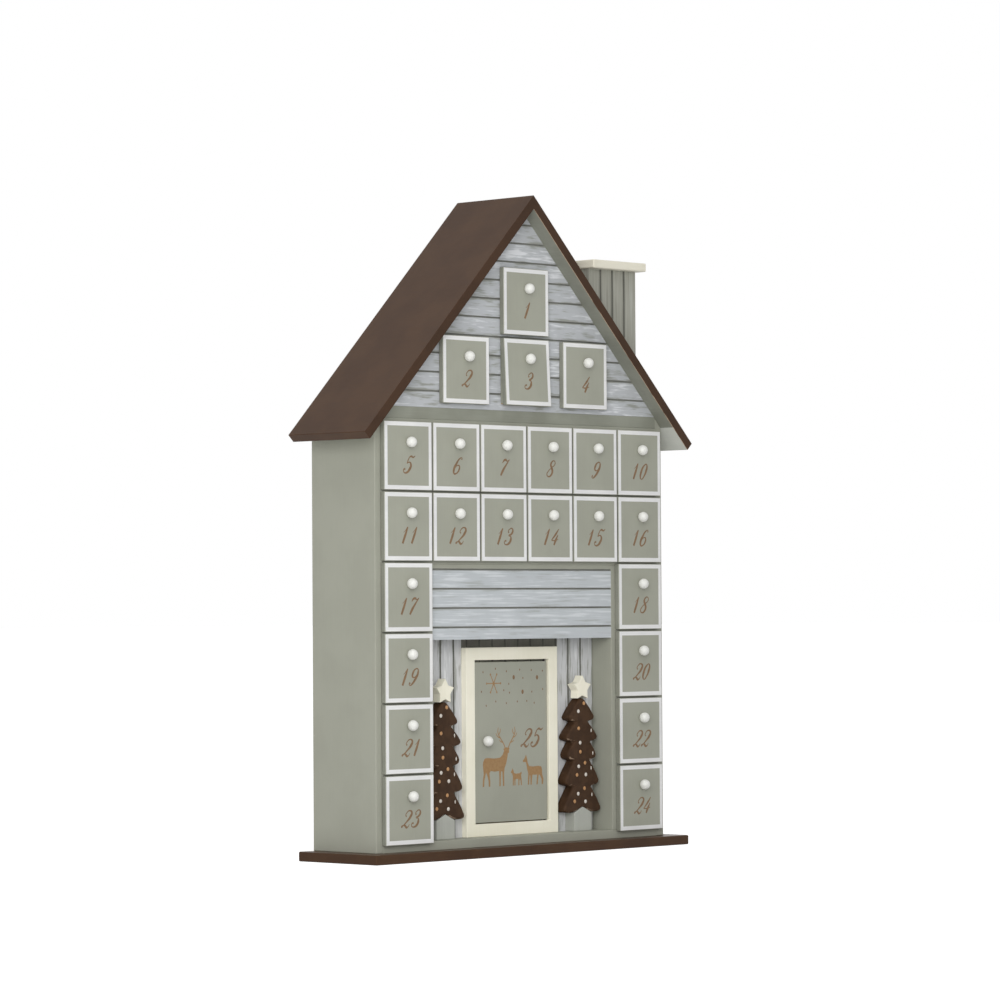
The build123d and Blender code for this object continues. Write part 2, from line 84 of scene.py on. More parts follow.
# Script figures of height 1: points of each stroke go across and up, with a share of the pen's width
FIGURES: dict[str, list[Stroke]] = {
    "0": [(
        (0.34, 1.0, 0.5), (0.14, 0.82, 0.8), (0.06, 0.44, 1.0), (0.14, 0.1, 0.8), (0.28, 0.0, 0.5),
        (0.46, 0.18, 0.7), (0.54, 0.56, 1.0), (0.48, 0.88, 0.8), (0.34, 1.0, 0.5),
    )],
    "1": [
        ((0.1, 0.66, 0.3), (0.22, 0.8, 0.4), (0.34, 1.0, 0.6)),
        ((0.34, 1.0, 0.6), (0.32, 0.5, 1.0), (0.3, 0.0, 0.9)),
    ],
    "2": [(
        (0.2, 0.66, 0.7), (0.1, 0.7, 0.5), (0.12, 0.88, 0.5), (0.34, 1.0, 0.6), (0.56, 0.9, 0.9),
        (0.56, 0.64, 1.0), (0.36, 0.36, 0.7), (0.1, 0.1, 0.5), (0.0, 0.02, 0.5), (0.14, 0.14, 0.5),
        (0.3, 0.1, 0.9), (0.46, 0.0, 0.9), (0.6, 0.04, 0.5), (0.66, 0.18, 0.35),
    )],
    "3": [(
        (0.22, 0.74, 0.8), (0.12, 0.8, 0.5), (0.2, 0.96, 0.5), (0.4, 1.0, 0.6), (0.54, 0.84, 0.9),
        (0.46, 0.64, 0.8), (0.28, 0.55, 0.4), (0.46, 0.52, 0.6), (0.58, 0.32, 1.0), (0.5, 0.08, 0.9),
        (0.26, 0.0, 0.6), (0.06, 0.08, 0.5), (0.06, 0.22, 0.6), (0.18, 0.24, 0.8),
    )],
    "4": [
        ((0.42, 1.0, 0.5), (0.26, 0.68, 0.9), (0.0, 0.3, 0.5)),
        ((0.0, 0.3, 0.5), (0.3, 0.28, 0.6), (0.66, 0.36, 0.35)),
        ((0.5, 0.64, 0.5), (0.42, 0.3, 1.0), (0.38, 0.0, 0.8)),
    ],
    "5": [
        ((0.2, 0.94, 0.5), (0.36, 1.0, 0.8), (0.54, 0.94, 0.7), (0.7, 1.04, 0.3)),
        ((0.2, 0.94, 0.5), (0.16, 0.74, 0.6), (0.14, 0.56, 0.4)),
        (
            (0.14, 0.56, 0.4), (0.34, 0.64, 0.6), (0.54, 0.5, 0.9), (0.54, 0.22, 1.0), (0.38, 0.02, 0.8),
            (0.16, 0.0, 0.6), (0.02, 0.1, 0.5), (0.04, 0.22, 0.7), (0.14, 0.22, 0.8),
        ),
    ],
    "6": [(
        (0.54, 0.86, 0.7), (0.5, 0.98, 0.5), (0.32, 0.94, 0.6), (0.14, 0.62, 0.9), (0.06, 0.28, 1.0),
        (0.18, 0.02, 0.8), (0.38, 0.02, 0.6), (0.54, 0.24, 0.8), (0.48, 0.48, 0.7), (0.3, 0.52, 0.5),
        (0.1, 0.32, 0.35),
    )],
    "7": [
        ((0.06, 0.78, 0.4), (0.14, 0.94, 0.8), (0.3, 0.98, 0.9), (0.46, 0.9, 0.6), (0.64, 1.0, 0.4)),
        ((0.64, 1.0, 0.4), (0.44, 0.62, 0.8), (0.3, 0.28, 1.0), (0.24, 0.0, 0.8)),
    ],
    "8": [(
        (0.56, 0.88, 0.6), (0.4, 1.0, 0.5), (0.2, 0.92, 0.7), (0.18, 0.74, 0.9), (0.34, 0.56, 1.0),
        (0.5, 0.36, 1.0), (0.48, 0.1, 0.8), (0.26, 0.0, 0.6), (0.06, 0.12, 0.6), (0.12, 0.36, 0.5),
        (0.36, 0.58, 0.5), (0.56, 0.76, 0.5), (0.56, 0.88, 0.6),
    )],
    "9": [(
        (0.54, 0.7, 0.4), (0.36, 0.48, 0.5), (0.16, 0.52, 0.8), (0.1, 0.76, 0.9), (0.24, 0.98, 0.6),
        (0.44, 0.98, 0.6), (0.56, 0.76, 0.9), (0.5, 0.42, 1.0), (0.32, 0.1, 0.8), (0.14, 0.0, 0.5),
        (0.04, 0.08, 0.5), (0.1, 0.16, 0.8),
    )],
}


class Along(Enum):
    """Direction in which a board's grain, a brush or an edge runs."""

    ACROSS = 0
    DEEP = 1
    UP = 2


class Coat(IntEnum):
    """Finishes of one piece, in the order of its material slots."""

    MAIN = 0
    SECOND = 1
    THIRD = 2
    FOURTH = 3
    FIFTH = 4


def linear(colour: str) -> tuple[float, float, float, float]:
    """Turn an sRGB hex colour such as "#A0B1C2" into linear light with a full alpha."""
    channels = [int(colour[i : i + 2], 16) / 255 for i in (1, 3, 5)]
    return (*(c / 12.92 if c <= 0.04045 else ((c + 0.055) / 1.055) ** 2.4 for c in channels), 1.0)


def connect(tree: NodeTree, node: Node, inputs: Inputs) -> None:
    """Give a node its inputs.

    Args:
        tree: Node tree of the node.
        node: Node that takes them.
        inputs: Values or other nodes' sockets by input name.
    """
    for name, value in inputs.items():
        if isinstance(value, NodeSocket):
            tree.links.new(value, node.inputs[name])
        else:
            node.inputs[name].default_value = value


def add_node(
    tree: NodeTree, kind: str, inputs: Inputs, stops: Stops = (), out: str | int = 0, **settings: object
) -> NodeSocket:
    """Add one shader node with its settings and links.

    Args:
        tree: Node tree that takes the node.
        kind: Node type without its ShaderNode prefix.
        inputs: Values or other nodes' sockets by input name.
        stops: Places and hex colours of a colour ramp.
        out: Name or number of the output that is wanted.
        **settings: Properties of the node.

    Returns:
        Socket of that output.
    """
    made = tree.nodes.new("ShaderNode" + kind)
    for name, value in settings.items():
        setattr(made, name, value)
    connect(tree, made, inputs)
    if stops:
        elements = made.color_ramp.elements
        while len(elements) < len(stops):
            elements.new(1.0)
        for element, (place, colour) in zip(elements, stops):
            element.position = place
            element.color = linear(colour)
    return made.outputs[out]


@dataclass(frozen=True)
class Marks:
    """Uneven pattern of real size: its marks' width, finer layers, length by width and wander."""

    width_mm: float
    detail: float = 2.0
    run: float = 1.0
    swirl: float = 0.0

    def lay(self, tree: NodeTree, along: Along) -> NodeSocket:
        """Lay the pattern on the object.

        Args:
            tree: Node tree that takes its nodes.
            along: Direction in which its marks are drawn out.

        Returns:
            Socket with the pattern.
        """
        spot = add_node(tree, "TexCoord", {}, out="Object")
        stretch = [1 / self.run if axis == along.value else 1.0 for axis in range(3)]
        drawn = add_node(tree, "Mapping", {"Vector": spot, "Scale": stretch})
        size = {"Scale": 1 / (self.width_mm * MM), "Detail": self.detail, "Distortion": self.swirl}
        return add_node(tree, "TexNoise", {"Vector": drawn, **size})


@dataclass(frozen=True)
class Finish:
    """What all finishes share: colours by the load of paint, relief by its fine marks, and a sheen."""

    colours: tuple[str, ...]
    along: Along = Along.UP
    steps: Shares = (0.32, 0.6)
    fine: Marks = Marks(1.2)
    broad: Marks | None = None
    fine_share: float = 0.0
    roughness: float = 0.5
    sheen_spread: float = 0.0
    shine: float = 0.5
    metallic: float = 0.0
    relief_mm: float = 0.06
    relief_share: float = 0.4

    def make(self, name: str) -> Material:
        """Build the material.

        Args:
            name: Name of the material.

        Returns:
            Material with the finish's colours, relief and sheen.
        """
        material = bpy.data.materials.new(name)
        material.use_nodes = True
        tree = material.node_tree
        load = fine = self.fine.lay(tree, self.along)
        if self.broad:
            mixed = {"Factor": self.fine_share, "A": self.broad.lay(tree, self.along), "B": fine}
            load = add_node(tree, "Mix", mixed, data_type="FLOAT")
        rough = self.roughness
        if self.sheen_spread:
            limits = {"To Min": rough - self.sheen_spread, "To Max": rough + self.sheen_spread}
            rough = add_node(tree, "MapRange", {"Value": fine, **limits})
        relief = {"Height": fine, "Strength": self.relief_share, "Distance": self.relief_mm * MM}
        stops = tuple(zip(self.steps, self.colours))
        surface = {
            "Base Color": add_node(tree, "ValToRGB", {"Fac": self.worn(tree, load)}, stops),
            "Normal": add_node(tree, "Bump", relief),
            "Roughness": rough,
            "Metallic": self.metallic,
            "Specular IOR Level": self.shine,
        }
        connect(tree, tree.nodes[SURFACE], surface)
        return material

    def worn(self, tree: NodeTree, load: NodeSocket) -> NodeSocket:
        """Tell what is left of the load of paint: all of it, unless a finish wears."""
        return load


@dataclass(frozen=True)
class BrushedPaint(Finish):
    """Paint on sanded board: faint clouding and fine brush marks along the board."""

    steps: Shares = (0.4, 0.58)
    fine: Marks = Marks(0.9, run=26.0)
    broad: Marks = Marks(30.0, 3.0)
    fine_share: float = 0.22
    roughness: float = 0.62
    sheen_spread: float = 0.05
    shine: float = 0.3
    relief_mm: float = 0.03
    relief_share: float = 0.25


@dataclass(frozen=True)
class BareBoard(Finish):
    """Unpainted board: pale wood with darker growth lines along the grain and dull pores."""

    steps: Shares = (0.34, 0.62)
    fine: Marks = Marks(0.5, 1.0, run=22.0)
    broad: Marks = Marks(2.4, 3.0, run=22.0, swirl=0.4)
    roughness: float = 0.66


@dataclass(frozen=True)
class SpeckledCoat(Finish):
    """Small painted or metal pieces: one colour with a fine mottle, no direction."""

    shine: float = 0.4
    relief_mm: float = 0.03
    relief_share: float = 0.3


@dataclass(frozen=True)
class Whitewash(Finish):
    """Thin pale wash dry-brushed over boards: streaks that thin out at the boards' edges."""

    steps: Shares = (0.37, 0.46, 0.55, 0.64)
    fine: Marks = Marks(1.3, 3.0, run=12.0)
    broad: Marks = Marks(9.0, 4.0, run=2.6)
    fine_share: float = 0.5
    roughness: float = 0.7
    shine: float = 0.25
    stacked: Along = Along.UP
    board_mm: float = 13.0
    first_edge_mm: float = 0.0
    edge_mm: float = 2.4
    edge_wear: float = 0.13

    def worn(self, tree: NodeTree, load: NodeSocket) -> NodeSocket:
        """Rub some wash off near the edges of each board.

        Args:
            tree: Node tree that takes the nodes.
            load: Load of wash.

        Returns:
            What is left of it.
        """
        spot = add_node(tree, "TexCoord", {}, out="Object")
        place = add_node(tree, "SeparateXYZ", {"Vector": spot}, out=self.stacked.value)
        from_first = add_node(tree, "Math", {0: place, 1: self.first_edge_mm * MM}, operation="SUBTRACT")
        from_edge = add_node(tree, "Math", {0: from_first, 1: self.board_mm * MM / 2}, operation="PINGPONG")
        limits = {"From Max": self.edge_mm * MM, "To Min": self.edge_wear, "To Max": 0.0}
        lost = add_node(tree, "MapRange", {"Value": from_edge, **limits})
        return add_node(tree, "Math", {0: load, 1: lost}, operation="SUBTRACT")


class Look(Enum):
    """Every finish of the house, its material named as the member is; colours go from thin to thick."""

    # Matte acrylic paint, rolled: no gloss, brush marks that only show at a slant
    GREY_PAINT_UPRIGHT = BrushedPaint(GREY, Along.UP)
    GREY_PAINT_LEVEL = BrushedPaint(GREY, Along.ACROSS)
    GREY_PAINT_DEEP = BrushedPaint(GREY, Along.DEEP)
    # The same grey darkened as painted shade: on the soffits, which are grey under the roof, on the drawers'
    # edges and on the band under the gable
    THIN_GREY_PAINT_DEEP = BrushedPaint(("#828378", "#8B8C81"), Along.DEEP, roughness=0.65)
    THIN_GREY_PAINT_LEVEL = BrushedPaint(("#8A8C80", "#94968A"), Along.ACROSS, roughness=0.65)
    # One more coat, paler, on the trunks of the firs
    PALE_GREY_PAINT = BrushedPaint(("#ABADA5", "#B4B6AE"), Along.UP)
    # The grey paint lightened as painted light on the soffits under the eaves outside the walls
    EAVE_UNDERCOAT = BrushedPaint(("#C6C8C0", "#CFD1C9"), Along.DEEP, roughness=0.65)
    # Dark grey as painted shade on the boards over the door, between the lintel and the door's frame
    DARK_PRIMER = BrushedPaint(("#6D6C63", "#7A7970"), Along.UP, roughness=0.75)
    # Grey paint in the grooves, which the wash leaves bare, darkened further as painted shade
    GREY_PAINT_GROOVE = BrushedPaint(("#7F807A", "#8C8D87"), Along.ACROSS, roughness=0.75)
    DARK_PAINT_GROOVE = BrushedPaint(("#5A5A52", "#66665E"), Along.UP, roughness=0.75)
    # Satin brown lacquer over close-grained board: a soft sheen under the light from above
    BROWN_LACQUER_LEVEL = BrushedPaint(BROWN, Along.ACROSS, roughness=0.3, shine=0.1)
    BROWN_LACQUER_DEEP = BrushedPaint(BROWN, Along.DEEP, roughness=0.42, shine=0.13)
    # Darker lacquer on the end grain at the front of the roof boards
    BROWN_LACQUER_END_GRAIN = BrushedPaint(("#3B291C", "#432F21"), Along.ACROSS, roughness=0.55, shine=0.15)
    # Lower edge of the end grain, rubbed through to the wood in places
    RUBBED_BROWN_EDGE = SpeckledCoat(
        ("#6B5240", "#C0A88F"), steps=(0.42, 0.55), fine=Marks(14.0), roughness=0.6, shine=0.15
    )
    # Bluish white wash, brushed almost dry over the grey
    GABLE_WHITEWASH = Whitewash(
        ("#999B95", "#BBBEC1", "#BBBEC1", "#DDDFE2"), Along.ACROSS, (0.36, 0.45, 0.54, 0.63),
        first_edge_mm=313.6,
    )
    LINTEL_WHITEWASH = Whitewash(
        ("#AEB2B1", "#C0C5C8", "#C0C5C8", "#D3D7DA"), Along.ACROSS, (0.34, 0.43, 0.52, 0.61),
        fine=Marks(1.3, 3.0, run=24.0), fine_share=0.65, first_edge_mm=155.1, edge_wear=0.1,
    )
    PORCH_WHITEWASH = Whitewash(
        ("#A6A7A2", "#D0D1D2", "#D0D1D2", "#E8E9EA"), Along.UP, stacked=Along.ACROSS, board_mm=12.686,
        first_edge_mm=-88.8, edge_mm=3.5,
    )
    # The same wash, greyer, brushed down the chimney's boards
    CHIMNEY_WHITEWASH = Whitewash(
        ("#929288", "#A4A499", "#A4A499", "#B2B3AA"), Along.UP, fine=Marks(1.0, 3.0, run=40.0),
        fine_share=0.8, stacked=Along.ACROSS, board_mm=12.2, first_edge_mm=78.3, edge_mm=3.0, edge_wear=0.06,
    )
    # Cream matte paint, thick enough to hide the grain; the upright coat on the door's frame and the stars
    # is paler, as painted light in the porch
    CREAM_PAINT_UPRIGHT = BrushedPaint(("#F2EEDA", "#F8F4E2"), Along.UP, roughness=0.55)
    CREAM_PAINT_LEVEL = BrushedPaint(("#E5E0CD", "#EBE7D6"), Along.ACROSS, roughness=0.55)
    # White matte paint of the borders
    WHITE_BORDER_PAINT = BrushedPaint(("#E3E3E3", "#EBEBEA"), Along.ACROSS, roughness=0.55)
    # White enamel on turned knobs: smooth with a small highlight
    WHITE_ENAMEL = SpeckledCoat(("#DFDFD9", "#E6E6E1"), fine=Marks(0.9), roughness=0.35)
    # Dark brown paint on the sawn firs, rubbed through here and there along the edges
    FIR_BROWN_PAINT = BrushedPaint(
        ("#3A281A", FIR_BROWN), Along.UP, broad=Marks(6.0, 3.0), roughness=0.6, shine=0.15
    )
    FIR_RUBBED_EDGE = SpeckledCoat(
        (FIR_BROWN, "#9A8471"), steps=(0.5, 0.66), fine=Marks(5.0), roughness=0.6, shine=0.15
    )
    # Copper-brown ink, printed flat: the figures' strokes are loaded more than the filled shapes
    COPPER_INK = SpeckledCoat(("#93724A", "#9C7B52"), fine=Marks(2.0))
    FIGURE_INK = SpeckledCoat(("#755A40", "#82664A"), fine=Marks(2.0))
    # Drops of acrylic on the firs
    WHITE_DOT_PAINT = SpeckledCoat(("#D2CBC1", "#DDD7CE"), fine=Marks(0.8), roughness=0.45)
    TAN_DOT_PAINT = SpeckledCoat(("#B08356", "#BE9062"), fine=Marks(0.8), roughness=0.45)
    # Bare basswood of the trays and hidden guides, sanded
    BARE_BASSWOOD = BareBoard(BASSWOOD, Along.DEEP)
    BARE_BASSWOOD_LEVEL = BareBoard(BASSWOOD, Along.ACROSS)
    # Thin bare plywood at the back, browner and coarser
    BARE_PLYWOOD = BareBoard(("#B08C5D", "#C9A878"), Along.UP, broad=Marks(5.0, 3.0, run=22.0, swirl=0.4))
    # Annealed steel wire of the pivot pins, left dark and dull by the heat
    ANNEALED_STEEL_WIRE = SpeckledCoat(("#312F2D", "#3C3A38"), roughness=0.55, metallic=1.0)

    def material(self) -> Material:
        """Hand out the finish's material, which is made at its first use."""
        name = self.name.lower()
        return bpy.data.materials.get(name) or self.value.make(name)


def bounds_mm(node: str) -> tuple[Vector, Vector]:
    """Read the lowest and the highest corner of a CAD node, in millimetres."""
    low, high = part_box(node)
    return low / MM, high / MM


def node_solids(node: str) -> BMesh:
    """Copy a CAD node's mesh, welded and with its flat faces whole.

    Args:
        node: Name of the CAD node.

    Returns:
        Mesh in millimetres.
    """
    bm = bmesh.new()
    bm.from_mesh(frame["nodes"][node].data)
    bmesh.ops.scale(bm, vec=Vector((1, 1, 1)) / MM, verts=bm.verts)
    bmesh.ops.remove_doubles(bm, verts=bm.verts, dist=WELD_MM)
    bmesh.ops.dissolve_limit(
        bm, angle_limit=FLAT_ANGLE, use_dissolve_boundaries=False, verts=bm.verts, edges=bm.edges
    )
    return bm


def thicken(bm: BMesh, thick: float) -> None:
    """Give a flat sheet its thickness towards the back.

    Args:
        bm: Sheet in millimetres, which faces the front.
        thick: Its thickness.
    """
    back = bmesh.ops.extrude_face_region(bm, geom=list(bm.faces), use_keep_orig=True)["geom"]
    moved = [part for part in back if isinstance(part, BMVert)]
    bmesh.ops.translate(bm, verts=moved, vec=(0, thick, 0))
    bmesh.ops.recalc_face_normals(bm, faces=bm.faces)


def sawn(points: Outline, y_front: float, y_back: float) -> BMesh:
    """Saw a flat board from its outline in front view.

    Args:
        points: Corners as x and z, in millimetres.
        y_front: Depth of the front face.
        y_back: Depth of the back face.

    Returns:
        Closed mesh in millimetres.
    """
    bm = bmesh.new()
    bm.faces.new([bm.verts.new((x, y_front, z)) for x, z in points])
    thicken(bm, y_back - y_front)
    return bm


def box_board(low: Place, high: Place) -> BMesh:
    """Saw a square-edged board between two corners.

    Args:
        low: Lowest corner.
        high: Highest corner.

    Returns:
        Closed mesh in millimetres.
    """
    near, far = Vector(low), Vector(high)
    bm = bmesh.new()
    bmesh.ops.create_cube(bm, size=1.0)
    bmesh.ops.scale(bm, vec=far - near, verts=bm.verts)
    bmesh.ops.translate(bm, vec=(far + near) / 2, verts=bm.verts)
    return bm


def cut(bm: BMesh, place: Place, ahead: Place, drop_behind: bool = False) -> None:
    """Cut a mesh along the plane through a place that faces ahead; what lies behind it may be dropped."""
    whole = [*bm.verts, *bm.edges, *bm.faces]
    bmesh.ops.bisect_plane(bm, geom=whole, plane_co=place, plane_no=ahead, clear_inner=drop_behind)


def runs_along(edge: BMEdge, along: Along) -> bool:
    """Tell whether an edge runs along one direction."""
    start, end = (vert.co for vert in edge.verts)
    return all(abs(start[axis] - end[axis]) < WELD_MM for axis in range(3) if axis != along.value)


def bevel_edges(bm: BMesh, edges: list[BMEdge], width: float, facets: int) -> list[BMFace]:
    """Bevel some edges, as a chamfer with one facet or round with more, and hand back the new faces."""
    made = bmesh.ops.bevel(
        bm, geom=edges, offset=width, offset_type="OFFSET", segments=facets, affect="EDGES", profile=0.5,
        material=-1, clamp_overlap=True,
    )
    return made["faces"]


def ease_edges(bm: BMesh, width: float, facets: int = 2, kept: tuple[BMEdge, ...] = ()) -> list[BMFace]:
    """Round every sharp edge but those kept, as sandpaper does, and hand back the new faces."""
    sharp = [e for e in bm.edges if e.is_manifold and e.calc_face_angle() > SHARP_ANGLE and e not in kept]
    return bevel_edges(bm, sharp, width, facets)


def join(target: BMesh, source: BMesh) -> None:
    """Add one mesh to another and drop the first copy.

    Args:
        target: Mesh that grows.
        source: Mesh that is added and freed.
    """
    spare = bpy.data.meshes.new("spare")
    source.to_mesh(spare)
    source.free()
    target.from_mesh(spare)
    bpy.data.meshes.remove(spare)


def put(name: str, data: ID) -> Object:
    """Add an object to the scene.

    Args:
        name: Name of the object.
        data: Mesh, curve, lamp or lens that it holds.

    Returns:
        The object, at the origin.
    """
    made = bpy.data.objects.new(name, data)
    bpy.context.scene.collection.objects.link(made)
    return made


def curve_mesh(curve: Curve) -> BMesh:
    """Turn a finished curve into a mesh and drop the curve.

    Args:
        curve: Curve in millimetres.

    Returns:
        Its mesh.
    """
    holder = put("pen", curve)
    graph = bpy.context.evaluated_depsgraph_get()
    mesh = bpy.data.meshes.new_from_object(holder.evaluated_get(graph), depsgraph=graph)
    bm = bmesh.new()
    bm.from_mesh(mesh)
    bpy.data.objects.remove(holder)
    bpy.data.curves.remove(curve)
    bpy.data.meshes.remove(mesh)
    bmesh.ops.remove_doubles(bm, verts=bm.verts, dist=WELD_MM)
    bmesh.ops.recalc_face_normals(bm, faces=bm.faces)
    return bm


def pen_strokes(strokes: list[Stroke], pen: float) -> BMesh:
    """Draw flat strokes whose width swells and thins as a pen's does.

    Args:
        strokes: Points as x, y and share of the pen's full width.
        pen: Full width of the pen, in millimetres.

    Returns:
        Mesh in the x-y plane, its ink towards +z.
    """
    curve = bpy.data.curves.new("pen", "CURVE")
    curve.dimensions = "3D"
    curve.resolution_u = PEN_STEPS
    curve.bevel_depth = pen / 2
    curve.bevel_resolution = PEN_FACETS
    curve.use_fill_caps = True
    for stroke in strokes:
        spline = curve.splines.new("BEZIER")
        spline.bezier_points.add(len(stroke) - 1)
        for point, (x, y, weight) in zip(spline.bezier_points, stroke):
            point.handle_left_type = point.handle_right_type = "AUTO"
            point.co = (x, y, 0)
            point.radius = weight
    bm = curve_mesh(curve)
    bmesh.ops.scale(bm, vec=(1, 1, 2 * INK_FILM_MM / pen), verts=bm.verts)
    return bm


def ink_shape(points: Outline) -> BMesh:
    """Fill an outline with ink.

    Args:
        points: Corners as x and y, in millimetres.

    Returns:
        Mesh in the x-y plane, its ink towards +z.
    """
    curve = bpy.data.curves.new("pen", "CURVE")
    curve.dimensions = "2D"
    curve.fill_mode = "BOTH"
    curve.extrude = INK_FILM_MM
    spline = curve.splines.new("POLY")
    spline.points.add(len(points) - 1)
    spline.use_cyclic_u = True
    for point, (x, y) in zip(spline.points, points):
        point.co = (x, y, 0, 1)
    return curve_mesh(curve)


def facing_front(x: float, y: float, z: float) -> Matrix:
    """Place, in millimetres, that turns +z to the front of the house and +y up."""
    return Matrix.Translation((x, y, z)) @ Matrix.Rotation(math.pi / 2, 4, "X")


def set_piece(
    name: str, bm: BMesh, looks: tuple[Look, ...], body: str = HOUSE, stands_for: str = "",
    place: Matrix | None = None, smooth: bool = False,
) -> None:
    """Turn a mesh into a finished piece of the house, at the origin.

    Args:
        name: Name of the piece.
        bm: Mesh in millimetres, which is freed.
        looks: Its finishes, in the order of the faces' coats.
        body: Body that carries the piece.
        stands_for: CAD node that the piece replaces.
        place: Where the mesh goes, in millimetres.
        smooth: Whether its faces shade as one rounded surface.
    """
    bmesh.ops.transform(bm, matrix=Matrix.Scale(MM, 4) @ (place or Matrix()), verts=bm.verts)
    for face in bm.faces:
        face.smooth = smooth
    mesh = bpy.data.meshes.new(name)
    bm.to_mesh(mesh)
    bm.free()
    carried = mesh.attributes.get("custom_normal")
    if carried:
        mesh.attributes.remove(carried)
    for look in looks:
        mesh.materials.append(look.material())
    piece = put(name, mesh)
    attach(piece, body)
    if stands_for:
        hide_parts(stands_for)
    LOG.info("%s on %s", name, body)


def eased_board(node: str, look: Look, width: float, body: str = HOUSE) -> None:
    """Replace a CAD board by the same board with sanded edges.

    Args:
        node: Name of the CAD node.
        look: Its finish.
        width: Width of the rounding, in millimetres.
        body: Body that carries the piece.
    """
    bm = node_solids(node)
    ease_edges(bm, width)
    set_piece(f"{node}_board", bm, (look,), body, node)


def grooved_boards(node: str) -> BMesh:
    """Copy a CAD node with V grooves, whose slanted sides get the second coat: the grooves' grey with its
    painted shade.

    Args:
        node: Name of the CAD node.

    Returns:
        Mesh in millimetres.
    """
    bm = node_solids(node)
    for face in bm.faces:
        face.normal_update()
        if max(abs(axis) for axis in face.normal) < SQUARE_ON:
            face.material_index = Coat.SECOND
    return bm


@dataclass(frozen=True)
class Drop:
    """Low round drop of paint on a surface that faces +z."""

    across: float
    high: float
    sides: int
    proud: float = INK_FILM_MM
    rings: int = 6

    def dab(self, bm: BMesh, places: Outline) -> None:
        """Set a drop at each place.

        Args:
            bm: Mesh that takes the drops.
            places: Their middles on the surface.
        """
        for x, y in places:
            made = bmesh.ops.create_uvsphere(bm, u_segments=self.sides, v_segments=self.rings, radius=1.0)
            bmesh.ops.scale(bm, vec=(self.across / 2, self.high / 2, self.proud), verts=made["verts"])
            bmesh.ops.translate(bm, vec=(x, y, 0), verts=made["verts"])


@dataclass(frozen=True)
class Knob:
    """Turned ball with a flat seat."""

    width: float = 7.2
    length: float = 6.9
    sides: int = 28
    rings: int = 18

    def build(self, name: str, slot: str, body: str, place: Matrix, stands_for: str = "") -> None:
        """Turn the knob and seat it.

        Args:
            name: Name of the knob.
            slot: The record's material slot; not used.
            body: Body that carries it.
            place: Its seat, with +z outwards, in millimetres.
            stands_for: CAD node that it replaces.
        """
        bm = bmesh.new()
        bmesh.ops.create_uvsphere(bm, u_segments=self.sides, v_segments=self.rings, radius=self.width / 2)
        bmesh.ops.translate(bm, vec=(0, 0, self.length - self.width / 2), verts=bm.verts)
        cut(bm, (0, 0, 0), (0, 0, 1), drop_behind=True)
        bmesh.ops.holes_fill(bm, edges=[e for e in bm.edges if e.is_boundary], sides=0)
        bmesh.ops.recalc_face_normals(bm, faces=bm.faces)
        set_piece(name, bm, (Look.WHITE_ENAMEL,), body, stands_for, place, smooth=True)


@dataclass
class Carcass:
    """Base, walls, shelves and back of the house."""

    thick_ease: float = 0.5
    thin_ease: float = 0.25

    def build(self) -> None:
        """Dress every board of the carcass."""
        eased_board("base_plate", Look.BROWN_LACQUER_LEVEL, self.thick_ease)
        for name in ("left_wall", "right_wall"):
            eased_board(name, Look.GREY_PAINT_UPRIGHT, self.thick_ease)
        for look, names in (
            (Look.GREY_PAINT_UPRIGHT, ("left_column_wall", "right_column_wall")),
            (Look.GREY_PAINT_LEVEL, ("floor_board", "lower_shelf", "upper_shelf", "top_shelf")),
            # The band under the gable takes the darker grey: painted shade
            (Look.THIN_GREY_PAINT_LEVEL, ("attic_floor",)),
            (Look.GREY_PAINT_LEVEL, ("left_column_shelves", "right_column_shelves")),
            (Look.GREY_PAINT_UPRIGHT, ("lower_dividers", "upper_dividers")),
        ):
            for name in names:
                eased_board(name, look, self.thin_ease)
        eased_board("back_panel", Look.BARE_PLYWOOD, self.thin_ease)


@dataclass
class Roof:
    """Two lacquered boards that meet at the ridge, painted grey underneath, with painted shade on that grey
    inside the walls and painted light outside them.
    """

    ease: float = 0.4
    looks: tuple[Look, ...] = (
        Look.BROWN_LACQUER_DEEP,
        Look.THIN_GREY_PAINT_DEEP,
        Look.BROWN_LACQUER_END_GRAIN,
        Look.EAVE_UNDERCOAT,
        Look.RUBBED_BROWN_EDGE,
    )

    def build(self) -> None:
        """Dress both slopes."""
        wall_x = bounds_mm("right_wall")[1].x
        for name, side in (("roof_left", -1), ("roof_right", 1)):
            bm = node_solids(name)
            cut(bm, (side * wall_x, 0, 0), (1, 0, 0))
            mitre = tuple(e for e in bm.edges if all(abs(vert.co.x) < WELD_MM for vert in e.verts))
            ease_edges(bm, self.ease, kept=mitre)
            for face in bm.faces:
                face.normal_update()
                underneath = face.normal.z < -SLANTED and face.normal.x * side < 0
                if face.normal.y < -SLANTED:
                    face.material_index = Coat.FIFTH if underneath else Coat.THIRD
                # Underneath: the grey darkened as painted shade inside the walls, lightened as painted light
                # outside them
                elif underneath:
                    outside = abs(face.calc_center_median().x) > wall_x
                    face.material_index = Coat.FOURTH if outside else Coat.SECOND
            set_piece(f"{name}_board", bm, self.looks, stands_for=name)


@dataclass
class Gable:
    """Clapboards on their backing, with the boards that carry the drawers behind."""

    ease: float = 0.2

    def build(self) -> None:
        """Dress the clapboards and the boards behind them."""
        node = "gable_clapboards"
        looks = (Look.GABLE_WHITEWASH, Look.GREY_PAINT_GROOVE)
        set_piece(f"{node}_washed", grooved_boards(node), looks, stands_for=node)
        eased_board("gable_backing", Look.BARE_BASSWOOD_LEVEL, self.ease)
        eased_board("attic_shelf", Look.BARE_BASSWOOD_LEVEL, self.ease)
        eased_board("attic_guides", Look.BARE_BASSWOOD, self.ease)


